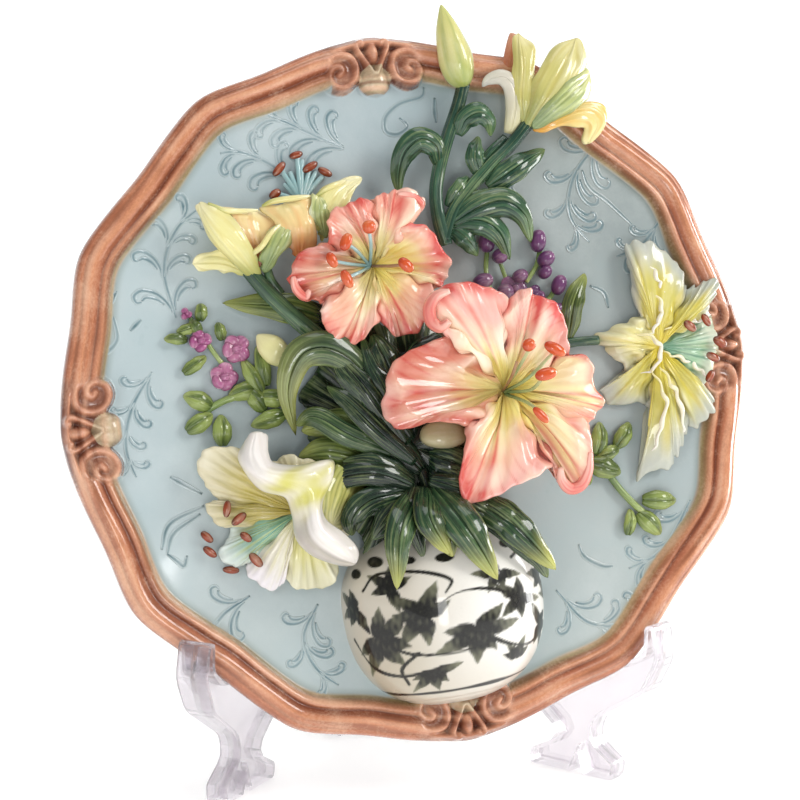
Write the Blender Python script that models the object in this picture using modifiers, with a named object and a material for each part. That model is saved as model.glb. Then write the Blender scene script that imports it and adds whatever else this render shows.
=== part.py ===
"""A decorative ceramic plate with lilies in relief, resting in a clear folding stand.

The plate is first modelled lying flat: X to the right, Y up the picture, Z out of its face, zero on the
field. It is then turned in its own plane and leant back into the seats of the stand. Units are metres,
+Z is up, and the face of the plate looks along -Y.
"""

import math

import bmesh
import bpy
from mathutils import Matrix, Vector

MM = 0.001

# Plate
PLATE_RADIUS = 0.150
PLATE_LEAN = math.radians(9.34)
PLATE_TURN = math.radians(8.1)
PLATE_SEGMENTS = 40
FIELD_THICKNESS = 0.007
RIM_WIDTH = 0.0165
RIM_RISE = 0.0070
RIM_DROP = 0.0078
GROOVE_FROM_EDGE = 0.0105
GROOVE_DEPTH = 0.0011
FOOT_RING_RADIUS = 0.087
FOOT_RING_WIDTH = 0.0050
FOOT_RING_HEIGHT = 0.0060

# Outline of the rim: the distance of its twelve straight stretches from the middle, as shares of the radius
ORNAMENT_REACH = 1.013
BESIDE_ORNAMENT_REACH = 0.991
CORNER_REACH = 0.985
OUTLINE_SHARPNESS = 75

# Stand
STAND_SIDEWAYS = 0.0025
PANEL_ANGLE = math.radians(38)
SEAT_SPREAD = 0.0925
SEAT_HEIGHT = 0.0565
SEAT_CLEARANCE = 0.0004
WEB_THICKNESS = 0.0024
FLANGE_WIDTH = 0.0090
FLANGE_THICKNESS = 0.0020
HOOK_WIDTH = 0.0140
HOOK_RISE = 0.0165
HOOK_THICKNESS = 0.0052
FINGER_HEIGHT = 0.118
FINGER_WIDTH = 0.011
REAR_FOOT_LENGTH = 0.034
ARCH_HEIGHT = 0.029
TOE_NOTCH = 0.1265
REAR_TOE_LENGTH = 0.0255
FRONT_TOE_LENGTH = 0.0195
TOE_THICKNESS = 0.0068
TOE_TIP_THICKNESS = 0.0080
TOE_TIP_SLOPE = 0.0010
TOE_CORNER_RADIUS = 0.0025
NOTCH_HALF_WIDTH = 0.0030
NOTCH_HEIGHT = 0.0095
FOOT_CORNER_RADIUS = 0.0030
ARCH_SIDE_SLOPE = 0.0080
ARCH_SIDE_DROP = 0.0064
ARCH_SIDE_RADIUS = 0.0100
ARCH_TOP_RADIUS = 0.0080
NECK_BACK_DEPTH = 0.0170
NECK_BACK_HEIGHT = 0.0155
NECK_BACK_RADIUS = 0.0045
NECK_FRONT_DEPTH = 0.0130
NECK_FRONT_HEIGHT = 0.0170
NECK_FRONT_RADIUS = 0.0060
SHOULDER_DEPTH = 0.0100
SHOULDER_HEIGHT = 0.0270
SHOULDER_RADIUS = 0.0080
BELLY_DEPTH = 0.0100
BELLY_DROP = 0.0140
BELLY_RADIUS = 0.0120
HOOK_FOOT_DEPTH = 0.0025
HOOK_FOOT_RISE = 0.0015
HOOK_TIP_RADIUS = 0.0024
SEAT_CORNER_RISE = 0.0040
SEAT_CORNER_RADIUS = 0.0040
SEAT_SINK = 0.0020
SEAT_SINK_RADIUS = 0.0050
FINGER_FOOT_DROP = 0.0050
FINGER_TIP_RADIUS = 0.0040
BACK_SLOPE = 0.0150
BACK_DROP = 0.0330
BACK_RADIUS = 0.0220
HINGE_SIDE_HEIGHT = 0.058
HINGE_GAP = 0.0066
ROD_RADIUS = 0.0025
ROD_OVERHANG = 0.0005
CLIP_WALL = 0.0018
CLIP_CLEARANCE = 0.0003
CLIP_OPENING = math.radians(100)
CLIP_HEIGHT = 0.0140
CLIP_NECK_INSET = 0.0006
LUG_HEIGHT = 0.0065
LUG_MARGIN = 0.0030
# Half thickness of a lug and of a clip's neck, as a share of the radius that it meets
LUG_SHARE = 0.85
ARC_STEPS = 2

# The exact solver leaves open edges where thin petals cross, so every union and cut uses the manifold one
SOLVER = "MANIFOLD"

# Steps along a petal, a leaf and a curl, and parts across a petal
PETAL_STEPS = 3
LEAF_STEPS = 2
CURL_STEPS = 2
STEM_BEVEL_STEPS = 0
PETAL_PARTS = 3
WIDE_PETAL = 12.2
WIDE_BUD = 6.1
# Petals and leaves start this far out from the point that they grow from, in millimetres
ROOT_GAP = 5
# Shares of a half sine wave that are left out at both ends of a blade, so that its ends stay blunt
PETAL_ENDS = (0.10, 0.10)
LEAF_ENDS = (0.15, 0.03)
SPRIG_ENDS = (0.12, 0.08)
CURL_ENDS = (0.30, 0.12)
RIB_ENDS = (0.30, 0.30)

# The relief is a free form, laid out for a plate of 150 mm radius and growing with the plate
RELIEF_SCALE = PLATE_RADIUS / 0.150

# Lilies: throat (right, up, out), petal thickness, then each petal as
# (direction in degrees, reach, half width, height halfway, height at the tip, sideways bend), in millimetres
LILIES = {
    "big_pink": {
        "throat": (31, -5, 11),
        "thickness": 3.4,
        "cup": -3.0,
        "petals": [
            (179, 53, 15.5, 40, 31, 4),
            (123, 46, 13, 41, 38, 2),
            (71, 38, 12.5, 40, 38, 1),
            (348, 34, 13, 38, 36, 1),
            (304, 44, 12, 41, 36, -1),
            (251, 46, 17, 39, 36, -2),
        ],
    },
    "second_pink": {
        "throat": (-14, 52, 6),
        "thickness": 3.2,
        "cup": -2.5,
        "petals": [
            (71, 30, 8.5, 27, 27, 1),
            (115, 28, 9, 27, 27, 1),
            (179, 36, 9.5, 27, 24, -2),
            (234, 35, 10, 28, 24, -2),
            (287, 30, 10.5, 28, 23, 0),
            (358, 26, 12.5, 28, 25, -1),
        ],
    },
    "white": {
        "throat": (-64, -38, 8),
        "thickness": 3.2,
        "cup": -2.0,
        "petals": [
            (145, 39, 11, 15, 12, 3),
            (115, 32, 8, 25, 22, 5),
            (33, 23, 8.5, 25, 21, 4),
            (306, 36, 10.5, 25, 22, 4),
            (280, 38, 11, 13, 9, 2),
            (243, 33, 7, 9, 4, 1),
            (184, 31, 6.5, 6, 3, 0),
        ],
    },
    "left_yellow": {
        "throat": (-60, 58, 3),
        "thickness": 3.2,
        "cup": -2.0,
        "petals": [
            (126, 39, 9, 15, 14, 2),
            (165, 30, 6.5, 12, 11, 1),
            (106, 29, 9.5, 18, 14, 3),
        ],
    },
    "middle_yellow": {
        "throat": (-47, 60, 4),
        "thickness": 3.2,
        "cup": -2.0,
        "petals": [
            (107, 28, 8.5, 18, 14, 3),
            (74, 29, 8.5, 18, 14, 0),
            (45, 45, 7, 18, 13, -3),
        ],
    },
    "open_yellow": {
        "throat": (64, 103, 8),
        "thickness": 3.0,
        "cup": -1.5,
        "petals": [
            (52, 45, 8.5, 14, 13, 0),
            (32, 36, 7.5, 17, 15, 0),
            (4, 33, 7, 17, 14, 4),
            (83, 38, 5.5, 15, 12, 3),
            (107, 22, 5.5, 12, 9, 2),
        ],
    },
    "right_yellow": {
        "throat": (103, 2, 6),
        "thickness": 2.8,
        "cup": -1.5,
        "petals": [
            (92, 46, 8.5, 11, 8, 4),
            (69, 43, 8.5, 11, 8, 0),
            (31, 43, 8, 11, 10, 3),
            (313, 39, 8.5, 11, 9, 1),
            (281, 40, 8, 11, 8, -1),
            (257, 51, 9, 10, 6, -3),
            (213, 29, 7, 7, 4, 3),
        ],
    },
}

# Rolled petal tips and curls: start, middle and end (right, up, out), half width
CURLS = [
    ((8, 36, 36), (0, 34, 37), (3, 25, 33), 4.5),
    ((54, -37, 34), (52, -47, 33), (43, -50, 29), 5.0),
    ((-52, -52, 22), (-44, -58, 25), (-42, -68, 20), 4.5),
    ((96, 108, 13), (97, 98, 15), (87, 95, 11), 4.5),
    ((58, 121, 9), (54, 126, 12), (45, 124, 8), 4.0),
    ((60, 132, 4), (61, 140, 7), (63, 146, 6), 3.5),
    ((-4, 79, 26), (1, 80, 28), (5, 75, 25), 4.0),
]

# Leaves: root (right, up, out), direction in degrees, length, half width, height halfway and at the tip, bend
LEAVES = [
    ((-14, -40, 8), 112, 62, 7.0, 20, 13, 4),
    ((-16, -40, 8), 134, 58, 6.5, 18, 10, 4),
    ((-18, -42, 8), 156, 47, 6.0, 16, 8, 4),
    ((-18, -46, 8), 184, 29, 7.0, 17, 10, -2),
    ((-8, -36, 8), 93, 54, 8.0, 19, 13, -3),
    ((-19, -44, 12), 262, 39, 6.5, 29, 31, 3),
    ((-12, -46, 14), 296, 28, 5.5, 30, 34, 2),
    ((-4, -44, 14), 299, 48, 7.0, 33, 33, 2),
    ((4, -42, 12), 311, 56, 7.5, 31, 24, 5),
    ((-28, 4, 4), 63, 28, 6.5, 18, 16, 2),
    ((-38, 33, 4), 155, 44, 6.0, 9, 5, 2),
    ((-36, 26, 2), 236, 40, 6.0, 17, 8, -9),
    ((-31, 15, 0), 212, 17, 4.0, 8, 4, 0),
    ((25, 101, 7), 218, 27, 6.0, 14, 5, -10),
    ((20, 104, 6), 357, 28, 4.5, 13, 6, 8),
    ((39, 83, 8), 82, 19, 4.0, 9, 7, 0),
    ((29.5, 80.5, 9), 21, 42, 5.2, 12, 6, -2),
    ((18, 68, 7), 344, 42, 5.5, 12, 6, 8),
    ((17, 65, 6), 332, 30, 4.5, 11, 6, 3),
    ((67, 10, -0.6), 65, 31, 5.5, 8, 4, 0),
    ((-54, 6, -0.6), 148, 24, 5.0, 7, 4, 0),
]

# Sprig leaves that lie flat on the field: middle (right, up), direction in degrees, length, half width
SPRIG_LEAVES = [
    (-93, 24, 25, 11, 2.6),
    (-95, 9, 140, 12, 3.6),
    (-96, -1, 175, 11, 3.0),
    (-86, -4, 95, 12, 3.6),
    (-74, 13, 160, 13, 4.0),
    (-67, 18, 120, 11, 3.6),
    (-65, -4, 180, 13, 3.6),
    (74, -34, 70, 14, 4.0),
    (88, -33, 55, 12, 3.8),
    (78, -46, 335, 16, 5.0),
    (100, -64, 350, 15, 4.4),
    (84, -72, 70, 11, 3.0),
    (94, -73, 300, 14, 4.4),
]
SPRIG_LEAF_HEIGHT = 3.6

# Thickness of leaves and curls, and how far their edges lie below their middle line
LEAF_THICKNESS = 3.6
LEAF_CUP = -1.0
CURL_CUP = -1.5

# Stems: points (right, up, out) and radius
STEMS = [
    ([(36, 124, 9), (29, 111, 8), (21, 98, 8), (16, 84, 9), (15, 71, 10), (18, 58, 11)], 2.9),
    ([(64, 104, 8), (51, 95, 8), (40, 88, 9), (30, 80, 10), (20, 68, 11), (17, 57, 11)], 2.9),
    ([(-63, 58, 5), (-50, 46, 5), (-40, 36, 5), (-31, 16, 5)], 3.4),
    ([(-58, 60, 9), (-56, 53, 7), (-52, 46, 6)], 1.8),
    ([(60, 6, 4), (72, 9, 4), (84, 6, 5)], 2.4),
    ([(36, 57, 6), (38, 47, 5), (40, 36, 5), (38, 24, 8)], 2.0),
    ([(57, 54, 6), (54, 44, 5), (48, 34, 6), (44, 22, 10)], 2.0),
    ([(66, -40, 4), (76, -41, 3), (86, -37, 3)], 1.6),
    ([(72, -46, 3), (80, -53, 3), (89, -67, 3), (92, -72, 3)], 1.6),
    ([(-94, 44, 2), (-90, 38, 2), (-87, 30, 2), (-81, 22, 2)], 1.5),
    ([(-94, 5, 2), (-86, 5, 2), (-76, 10, 2), (-66, 10, 4)], 1.6),
    ([(108, 3, 10), (120, 2, 10), (131, -1, 9)], 2.6),
]

# Buds, florets and trumpets: start and end (right, up, out), greatest half width, share of the way to it
BUDS = [
    ((37, 122, 9), (34, 160, 12), 8.0, 0.36),
    ((-50, 19, 4), (-67, 31, 4), 7.0, 0.45),
    ((36, 51, 3), (36, 63, 3), 4.6, 0.5),
    ((37, 49, 3), (47, 51, 3), 3.8, 0.5),
    ((56, 50, 2.8), (59, 61, 2.8), 4.2, 0.5),
    ((55, 44, 3), (66, 46, 3), 4.2, 0.5),
    ((28, 42, 3), (38, 41, 3), 4.2, 0.5),
    ((41, 31, 3), (45, 43, 3), 4.4, 0.5),
    ((58, 31, 2.4), (67, 39, 2.4), 3.8, 0.5),
    ((57, 25, 2), (68, 27, 2), 3.4, 0.5),
    ((-96, 48, 2), (-92, 42, 2), 3.4, 0.5),
    ((-95, 32, 2), (-85, 33, 2), 5.0, 0.5),
    ((-82, 27, 2), (-70, 27, 2), 6.0, 0.5),
    ((-88, 17, 2), (-76, 17, 2), 6.0, 0.5),
    ((-36, -28, 8), (-70, -42, 12), 10.0, 0.65),
    ((78, 5, 4), (112, 3, 9), 9.5, 0.75),
]

# Solid mounds of clay that the flowers and leaves stand on: middle (right, up), half sizes (right, up, out)
MOUNDS = [
    (28, -5, 28, 26, 19),
    (-14, 52, 24, 22, 15),
    (-24, -20, 38, 36, 15),
    (-6, -47, 30, 15, 24),
    (-54, 68, 22, 15, 13),
    (-60, -41, 18, 16, 15),
    (22, 64, 12, 22, 12),
    (105, 3, 18, 14, 9),
    (66, 109, 10, 9, 11),
]

# How far a dome reaches under the field; a bud's blunt ends and its depth, as shares of length and width
DOME_SINK = 2.5
BUD_END = 0.04
BUD_FLATNESS = 0.8
BUD_FULLNESS = 0.7

# Vase: the front half of a jar, on a low foot
VASE_MIDDLE = (-2, -93)
VASE_HALF_WIDTH = 41.5
VASE_HALF_HEIGHT = 37.0
VASE_DEPTH = 34.0
VASE_FOOT_HALF_WIDTH = 20.0
VASE_FOOT_DEPTH = 19.0
VASE_FOOT_HEIGHT = 8.0
VASE_FOOT_DROP = 2.0
VASE_FOOT_TAPER = 0.86

# Rim ornament, drawn with its middle at the rim: a bud between two ribs, a shell and two scrolls
ORNAMENT_FROM_EDGE = {"bud": 9.0, "ribs_inner": 14.0, "ribs_outer": 4.0, "shell": 16.5, "scroll": 11.5}
ORNAMENT_RIB_SPREAD = 8.5
ORNAMENT_RIB_HALF_WIDTH = 1.8
ORNAMENT_RIB_START = 1.2
ORNAMENT_RIB_DROP = 1.2
ORNAMENT_RIB_THICKNESS = 5.0
ORNAMENT_SCROLL_SPREAD = 15.5
ORNAMENT_HEIGHT = 2.0
ORNAMENT_SHOULDER = 0.55
ORNAMENT_PEAK = 0.5
# Half sizes across the rim and along it
ORNAMENT_BUD = (6.5, 2.8)
ORNAMENT_SHELL = (8.0, 8.0)
ORNAMENT_SCROLL = (5.6, 5.6)


def clear_scene():
    for obj in list(bpy.data.objects):
        bpy.data.objects.remove(obj, do_unlink=True)


def new_collection(name):
    collection = bpy.data.collections.new(name)
    bpy.context.scene.collection.children.link(collection)
    return collection


def new_material(name, colour, roughness, alpha=1.0):
    material = bpy.data.materials.new(name)
    material.use_nodes = True
    shader = material.node_tree.nodes["Principled BSDF"]
    shader.inputs["Base Color"].default_value = (*colour, 1)
    shader.inputs["Roughness"].default_value = roughness
    shader.inputs["Metallic"].default_value = 0
    shader.inputs["Alpha"].default_value = alpha
    return material


def new_object(name, bm, collection):
    """Turns a closed bmesh into an object whose faces point outwards."""
    bmesh.ops.recalc_face_normals(bm, faces=bm.faces)
    mesh = bpy.data.meshes.new(name)
    bm.to_mesh(mesh)
    bm.free()
    obj = bpy.data.objects.new(name, mesh)
    collection.objects.link(obj)
    return obj


def as_helper(obj):
    obj.hide_render = True
    obj.display_type = "WIRE"
    return obj


def loft(bm, rings, open_start=False):
    """Joins rings of equally many points into one skin, with a face over its last ring and its first."""
    made = [[bm.verts.new(point) for point in ring] for ring in rings]
    count = len(made[0])
    for lower, upper in zip(made, made[1:]):
        for i in range(count):
            j = (i + 1) % count
            bm.faces.new((lower[i], lower[j], upper[j], upper[i]))
    if not open_start:
        bm.faces.new(reversed(made[0]))
    bm.faces.new(made[-1])


def arc_through(start, middle, end, steps):
    """Points of the quadratic curve that passes through all three."""
    start, middle, end = Vector(start), Vector(middle), Vector(end)
    control = 2 * middle - (start + end) / 2
    points = []
    for i in range(steps + 1):
        t = i / steps
        points.append((1 - t) ** 2 * start + 2 * t * (1 - t) * control + t**2 * end)
    return points


def bent_path(root, direction, reach, middle_height, tip_height, bend):
    """Start, middle and tip of a petal or leaf that leaves its root in a direction and bends to its left."""
    along = Vector((math.cos(math.radians(direction)), math.sin(math.radians(direction)), 0))
    left = Vector((-along.y, along.x, 0))
    root = Vector(root)
    start = root + along * ROOT_GAP
    middle = root + along * reach / 2 + left * bend
    tip = root + along * reach
    middle.z = middle_height
    tip.z = tip_height
    return start, middle, tip


def blade_rings(path, half_width, thickness, across, cup, narrow_start, narrow_end):
    """Rings of a petal or leaf: a lens across its path, widest past halfway, cupped or arched by cup."""
    rings = []
    for i, point in enumerate(path):
        before = path[max(i - 1, 0)]
        after = path[min(i + 1, len(path) - 1)]
        along = (after - before).normalized()
        side = along.cross(Vector((0, 0, 1))).normalized()
        out = side.cross(along)
        t = i / (len(path) - 1)
        width = half_width * math.sin(math.pi * (narrow_start + (1 - narrow_start - narrow_end) * t) ** 1.25)
        thick = thickness * (0.45 + 0.55 * math.sin(math.pi * (0.1 + 0.8 * t)))
        top = []
        bottom = []
        for j in range(1, across):
            s = 2 * j / across - 1
            mid = cup * s * s * t
            top.append(point + side * width * s + out * (mid + thick / 2))
            bottom.append(point + side * width * s + out * (mid - thick / 2))
        left = point - side * width + out * cup * t
        right = point + side * width + out * cup * t
        rings.append([left, *top, right, *reversed(bottom)])
    return rings


def scaled(rings):
    return [[point * MM * RELIEF_SCALE for point in ring] for ring in rings]


def add_blade(name, path, half_width, thickness, across, cup, narrow, collection):
    bm = bmesh.new()
    loft(bm, scaled(blade_rings(path, half_width, thickness, across, cup, *narrow)))
    return as_helper(new_object(name, bm, collection))


def add_lilies(collection):
    for flower, lily in LILIES.items():
        thickness = lily["thickness"]
        for i, (direction, reach, half_width, middle_height, tip_height, bend) in enumerate(lily["petals"]):
            points = bent_path(lily["throat"], direction, reach, middle_height, tip_height, bend)
            path = arc_through(*points, PETAL_STEPS)
            name = f"{flower}_petal_{i + 1}"
            across = PETAL_PARTS if half_width > WIDE_PETAL else 2
            add_blade(name, path, half_width, thickness, across, lily["cup"], PETAL_ENDS, collection)
    for i, (start, middle, end, half_width) in enumerate(CURLS):
        path = arc_through(start, middle, end, CURL_STEPS)
        add_blade(f"curl_{i + 1}", path, half_width, LEAF_THICKNESS, 2, CURL_CUP, CURL_ENDS, collection)


def add_leaves(collection):
    for i, (root, direction, length, half_width, middle_height, tip_height, bend) in enumerate(LEAVES):
        path = arc_through(*bent_path(root, direction, length, middle_height, tip_height, bend), LEAF_STEPS)
        add_blade(f"leaf_{i + 1}", path, half_width, LEAF_THICKNESS, 2, LEAF_CUP, LEAF_ENDS, collection)
    for i, (across, up, direction, length, half_width) in enumerate(SPRIG_LEAVES):
        turn = math.radians(direction)
        half = Vector((math.cos(turn), math.sin(turn), 0)) * length / 2
        middle = Vector((across, up, SPRIG_LEAF_HEIGHT / 3))
        path = arc_through(middle - half, middle, middle + half, 2)
        add_blade(f"sprig_leaf_{i + 1}", path, half_width, SPRIG_LEAF_HEIGHT, 2, 0, SPRIG_ENDS, collection)


def add_stems(collection):
    """Each stem is a round tube on a smooth curve through its points, turned into a mesh for the union."""
    for i, (points, radius) in enumerate(STEMS):
        curve = bpy.data.curves.new(f"stem_{i + 1}", "CURVE")
        curve.dimensions = "3D"
        curve.bevel_depth = radius * MM * RELIEF_SCALE
        curve.bevel_resolution = STEM_BEVEL_STEPS
        curve.use_fill_caps = True
        spline = curve.splines.new("POLY")
        spline.points.add(len(points) - 1)
        for spot, point in zip(spline.points, points):
            spot.co = (*(Vector(point) * MM * RELIEF_SCALE), 1)
        guide = bpy.data.objects.new(f"stem_{i + 1}_guide", curve)
        collection.objects.link(guide)
        graph = bpy.context.evaluated_depsgraph_get()
        mesh = bpy.data.meshes.new_from_object(guide.evaluated_get(graph))
        bpy.data.objects.remove(guide, do_unlink=True)
        bm = bmesh.new()
        bm.from_mesh(mesh)
        bpy.data.meshes.remove(mesh)
        bmesh.ops.remove_doubles(bm, verts=bm.verts, dist=0.00001)
        as_helper(new_object(f"stem_{i + 1}", bm, collection))


def add_buds(collection):
    for i, (start, end, half_width, widest) in enumerate(BUDS):
        start, end = Vector(start), Vector(end)
        along = (end - start).normalized()
        side = along.cross(Vector((0, 0, 1))).normalized()
        out = side.cross(along)
        steps = 3 if half_width > WIDE_BUD else 2
        sides = 6 if half_width > WIDE_BUD else 4
        rings = []
        for k in range(steps + 1):
            t = BUD_END + (1 - 2 * BUD_END) * k / steps
            swell = t ** (math.log(0.5) / math.log(widest))
            radius = half_width * math.sin(math.pi * swell) ** BUD_FULLNESS
            middle = start.lerp(end, t)
            ring = []
            for j in range(sides):
                angle = 2 * math.pi * j / sides
                swell_out = out * radius * BUD_FLATNESS * math.sin(angle)
                ring.append(middle + side * radius * math.cos(angle) + swell_out)
            rings.append(ring)
        bm = bmesh.new()
        loft(bm, scaled(rings))
        as_helper(new_object(f"bud_{i + 1}", bm, collection))


def add_peak(name, middle, half_sizes, height, turn, collection):
    """A low blunt hump on the rim, from under the field to a height, turned about the plate's middle."""
    rings = []
    for up, share in ((-DOME_SINK, 1.0), (height * ORNAMENT_SHOULDER, 1.0), (height, ORNAMENT_PEAK)):
        ring = []
        for i in range(6):
            angle = math.pi * i / 3
            across = middle[0] + half_sizes[0] * share * math.cos(angle)
            aside = middle[1] + half_sizes[1] * share * math.sin(angle)
            ring.append(turn @ Vector((across, aside, up)))
        rings.append(ring)
    bm = bmesh.new()
    loft(bm, scaled(rings))
    return as_helper(new_object(name, bm, collection))


def add_dome(name, middle, half_sizes, segments, rings, collection):
    """The upper half of a stretched sphere, with its flat base sunk into the field."""
    bm = bmesh.new()
    bmesh.ops.create_uvsphere(bm, u_segments=segments, v_segments=rings, radius=1)
    geometry = [*bm.verts, *bm.edges, *bm.faces]
    bmesh.ops.bisect_plane(bm, geom=geometry, plane_co=(0, 0, 0.001), plane_no=(0, 0, 1), clear_inner=True)
    bmesh.ops.holes_fill(bm, edges=[edge for edge in bm.edges if edge.is_boundary])
    place = Matrix.Translation((*middle, -DOME_SINK)) @ Matrix.Diagonal((*half_sizes, 1))
    bmesh.ops.transform(bm, matrix=place, verts=bm.verts)
    bmesh.ops.scale(bm, vec=(MM * RELIEF_SCALE,) * 3, verts=bm.verts)
    return as_helper(new_object(name, bm, collection))


def add_mounds(collection):
    for i, (across, up, half_across, half_up, half_out) in enumerate(MOUNDS):
        add_dome(f"mound_{i + 1}", (across, up), (half_across, half_up, half_out), 8, 6, collection)


def add_vase(collection):
    sizes = (VASE_HALF_WIDTH, VASE_HALF_HEIGHT, VASE_DEPTH)
    add_dome("vase_body", VASE_MIDDLE, sizes, 18, 12, collection)
    foot_up = VASE_MIDDLE[1] - VASE_HALF_HEIGHT
    bm = bmesh.new()
    bmesh.ops.create_cone(
        bm,
        cap_ends=True,
        segments=10,
        radius1=1,
        radius2=VASE_FOOT_TAPER,
        depth=VASE_FOOT_HEIGHT,
        matrix=Matrix.Rotation(math.radians(-90), 4, "X"),
    )
    geometry = [*bm.verts, *bm.edges, *bm.faces]
    bmesh.ops.bisect_plane(bm, geom=geometry, plane_co=(0, 0, 0.001), plane_no=(0, 0, 1), clear_inner=True)
    bmesh.ops.holes_fill(bm, edges=[edge for edge in bm.edges if edge.is_boundary])
    stretch = Matrix.Diagonal((VASE_FOOT_HALF_WIDTH, 1, VASE_FOOT_DEPTH, 1))
    place = Matrix.Translation((VASE_MIDDLE[0], foot_up + VASE_FOOT_HEIGHT / 2 - VASE_FOOT_DROP, -DOME_SINK))
    bmesh.ops.transform(bm, matrix=place @ stretch, verts=bm.verts)
    bmesh.ops.scale(bm, vec=(MM * RELIEF_SCALE,) * 3, verts=bm.verts)
    as_helper(new_object("vase_foot", bm, collection))


def outline_share(angle):
    """Distance of the rim's edge from the middle, as a share of the radius: a soft twelve-sided form."""
    quarter = math.pi / 2
    total = 0
    for k in range(4):
        sides = (
            (k * quarter, ORNAMENT_REACH),
            (k * quarter + math.radians(15), BESIDE_ORNAMENT_REACH),
            (k * quarter + math.radians(45), CORNER_REACH),
            (k * quarter + math.radians(75), BESIDE_ORNAMENT_REACH),
        )
        for direction, reach in sides:
            total += (max(0, math.cos(angle - direction)) / reach) ** OUTLINE_SHARPNESS
    return total ** (-1 / OUTLINE_SHARPNESS)


def smooth_step(low, high, value):
    t = min(max((value - low) / (high - low), 0), 1)
    return t * t * (3 - 2 * t)


def plate_profile():
    """Half section of the dish as (radius, height), from the edge of the field over the rim to the back."""
    edge = PLATE_RADIUS
    back = -FIELD_THICKNESS
    groove = edge - GROOVE_FROM_EDGE
    band = RIM_RISE * 0.74
    foot_outer = FOOT_RING_RADIUS + FOOT_RING_WIDTH / 2
    foot_inner = FOOT_RING_RADIUS - FOOT_RING_WIDTH / 2
    foot_splay = FOOT_RING_WIDTH * 0.35
    return [
        (edge - RIM_WIDTH, 0),
        (edge - RIM_WIDTH * 0.86, band * 0.66),
        (groove - RIM_WIDTH * 0.09, band),
        (groove, band - GROOVE_DEPTH),
        (edge - RIM_WIDTH * 0.40, RIM_RISE),
        (edge - RIM_WIDTH * 0.14, RIM_RISE * 0.74),
        (edge, RIM_RISE * 0.05),
        (edge, -RIM_DROP * 0.60),
        (edge - RIM_WIDTH * 0.17, -RIM_DROP),
        (edge - RIM_WIDTH * 1.5, back),
        (foot_outer + foot_splay, back),
        (foot_outer, back - FOOT_RING_HEIGHT),
        (foot_inner, back - FOOT_RING_HEIGHT),
        (foot_inner - foot_splay, back),
    ]


def grown_profile(profile, gap):
    """The same half section, moved outwards by a gap on every side."""
    grown = []
    for i, (radius, height) in enumerate(profile):
        before = Vector(profile[i - 1]) if i else Vector((0, height))
        after = Vector(profile[i + 1]) if i + 1 < len(profile) else Vector((0, height))
        here = Vector((radius, height))
        in_normal = Vector((before.y - here.y, here.x - before.x)).normalized()
        out_normal = Vector((here.y - after.y, after.x - here.x)).normalized()
        bisector = (in_normal + out_normal).normalized()
        grown.append(here + bisector * gap / max(bisector.dot(in_normal), 0.5))
    return grown


def dish_mesh(profile):
    """Sweeps the half section round the twelve-sided outline; the foot ring and the middle stay round."""
    rings = []
    for radius, height in profile:
        follow = smooth_step(FOOT_RING_RADIUS * 1.1, PLATE_RADIUS * 0.87, radius)
        ring = []
        for i in range(PLATE_SEGMENTS):
            angle = 2 * math.pi * i / PLATE_SEGMENTS
            reach = radius + PLATE_RADIUS * (outline_share(angle) - 1) * follow
            ring.append((reach * math.cos(angle), reach * math.sin(angle), height))
        rings.append(ring)
    bm = bmesh.new()
    loft(bm, rings)
    return bm


def add_ornaments(collection):
    """Four carved ornaments on the rim, a quarter turn apart: shell, two scrolls, a bud between two ribs."""
    edge = PLATE_RADIUS / MM / RELIEF_SCALE
    rise = RIM_RISE / MM / RELIEF_SCALE
    top = rise + ORNAMENT_HEIGHT
    at = {part: edge - distance for part, distance in ORNAMENT_FROM_EDGE.items()}
    for k in range(4):
        name = f"ornament_{k + 1}"
        turn = Matrix.Rotation(k * math.pi / 2, 4, "Z")
        add_peak(f"{name}_bud", (at["bud"], 0), ORNAMENT_BUD, top, turn, collection)
        add_peak(f"{name}_shell", (at["shell"], 0), ORNAMENT_SHELL, rise, turn, collection)
        for side in (-1, 1):
            inner = turn @ Vector((at["ribs_inner"], side * ORNAMENT_RIB_START, rise))
            outer = turn @ Vector((at["ribs_outer"], side * ORNAMENT_RIB_SPREAD, rise - ORNAMENT_RIB_DROP))
            add_blade(
                f"{name}_rib_{side}",
                [inner, outer],
                ORNAMENT_RIB_HALF_WIDTH,
                ORNAMENT_RIB_THICKNESS,
                2,
                0,
                RIB_ENDS,
                collection,
            )
            middle = (at["scroll"], side * ORNAMENT_SCROLL_SPREAD)
            add_peak(f"{name}_scroll_{side}", middle, ORNAMENT_SCROLL, top, turn, collection)


def make_plate(parts, helpers):
    plate = new_object("plate", dish_mesh(plate_profile()), parts)
    relief = bpy.data.collections.new("relief")
    helpers.children.link(relief)
    add_mounds(relief)
    add_vase(relief)
    add_lilies(relief)
    add_leaves(relief)
    add_stems(relief)
    add_buds(relief)
    add_ornaments(relief)
    join = plate.modifiers.new("join_relief", "BOOLEAN")
    join.operation = "UNION"
    join.operand_type = "COLLECTION"
    join.collection = relief
    join.solver = SOLVER
    return plate


def plate_matrix():
    """Turns the plate in its plane, leans it back and lifts it onto the seats."""
    spread = math.asin(SEAT_SPREAD / PLATE_RADIUS)
    shares = [outline_share(-math.pi / 2 - PLATE_TURN + side * spread) for side in (-1, 1)]
    seat_radius = PLATE_RADIUS * sum(shares) / 2
    drop = math.sqrt(seat_radius**2 - SEAT_SPREAD**2) * math.cos(PLATE_LEAN)
    lean = Matrix.Rotation(math.pi / 2 - PLATE_LEAN, 4, "X")
    return Matrix.Translation((0, 0, SEAT_HEIGHT + drop)) @ lean @ Matrix.Rotation(PLATE_TURN, 4, "Z")


def seat_along():
    """Distance of the seats from the hinge, along a panel."""
    return SEAT_SPREAD / math.sin(PANEL_ANGLE)


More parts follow.
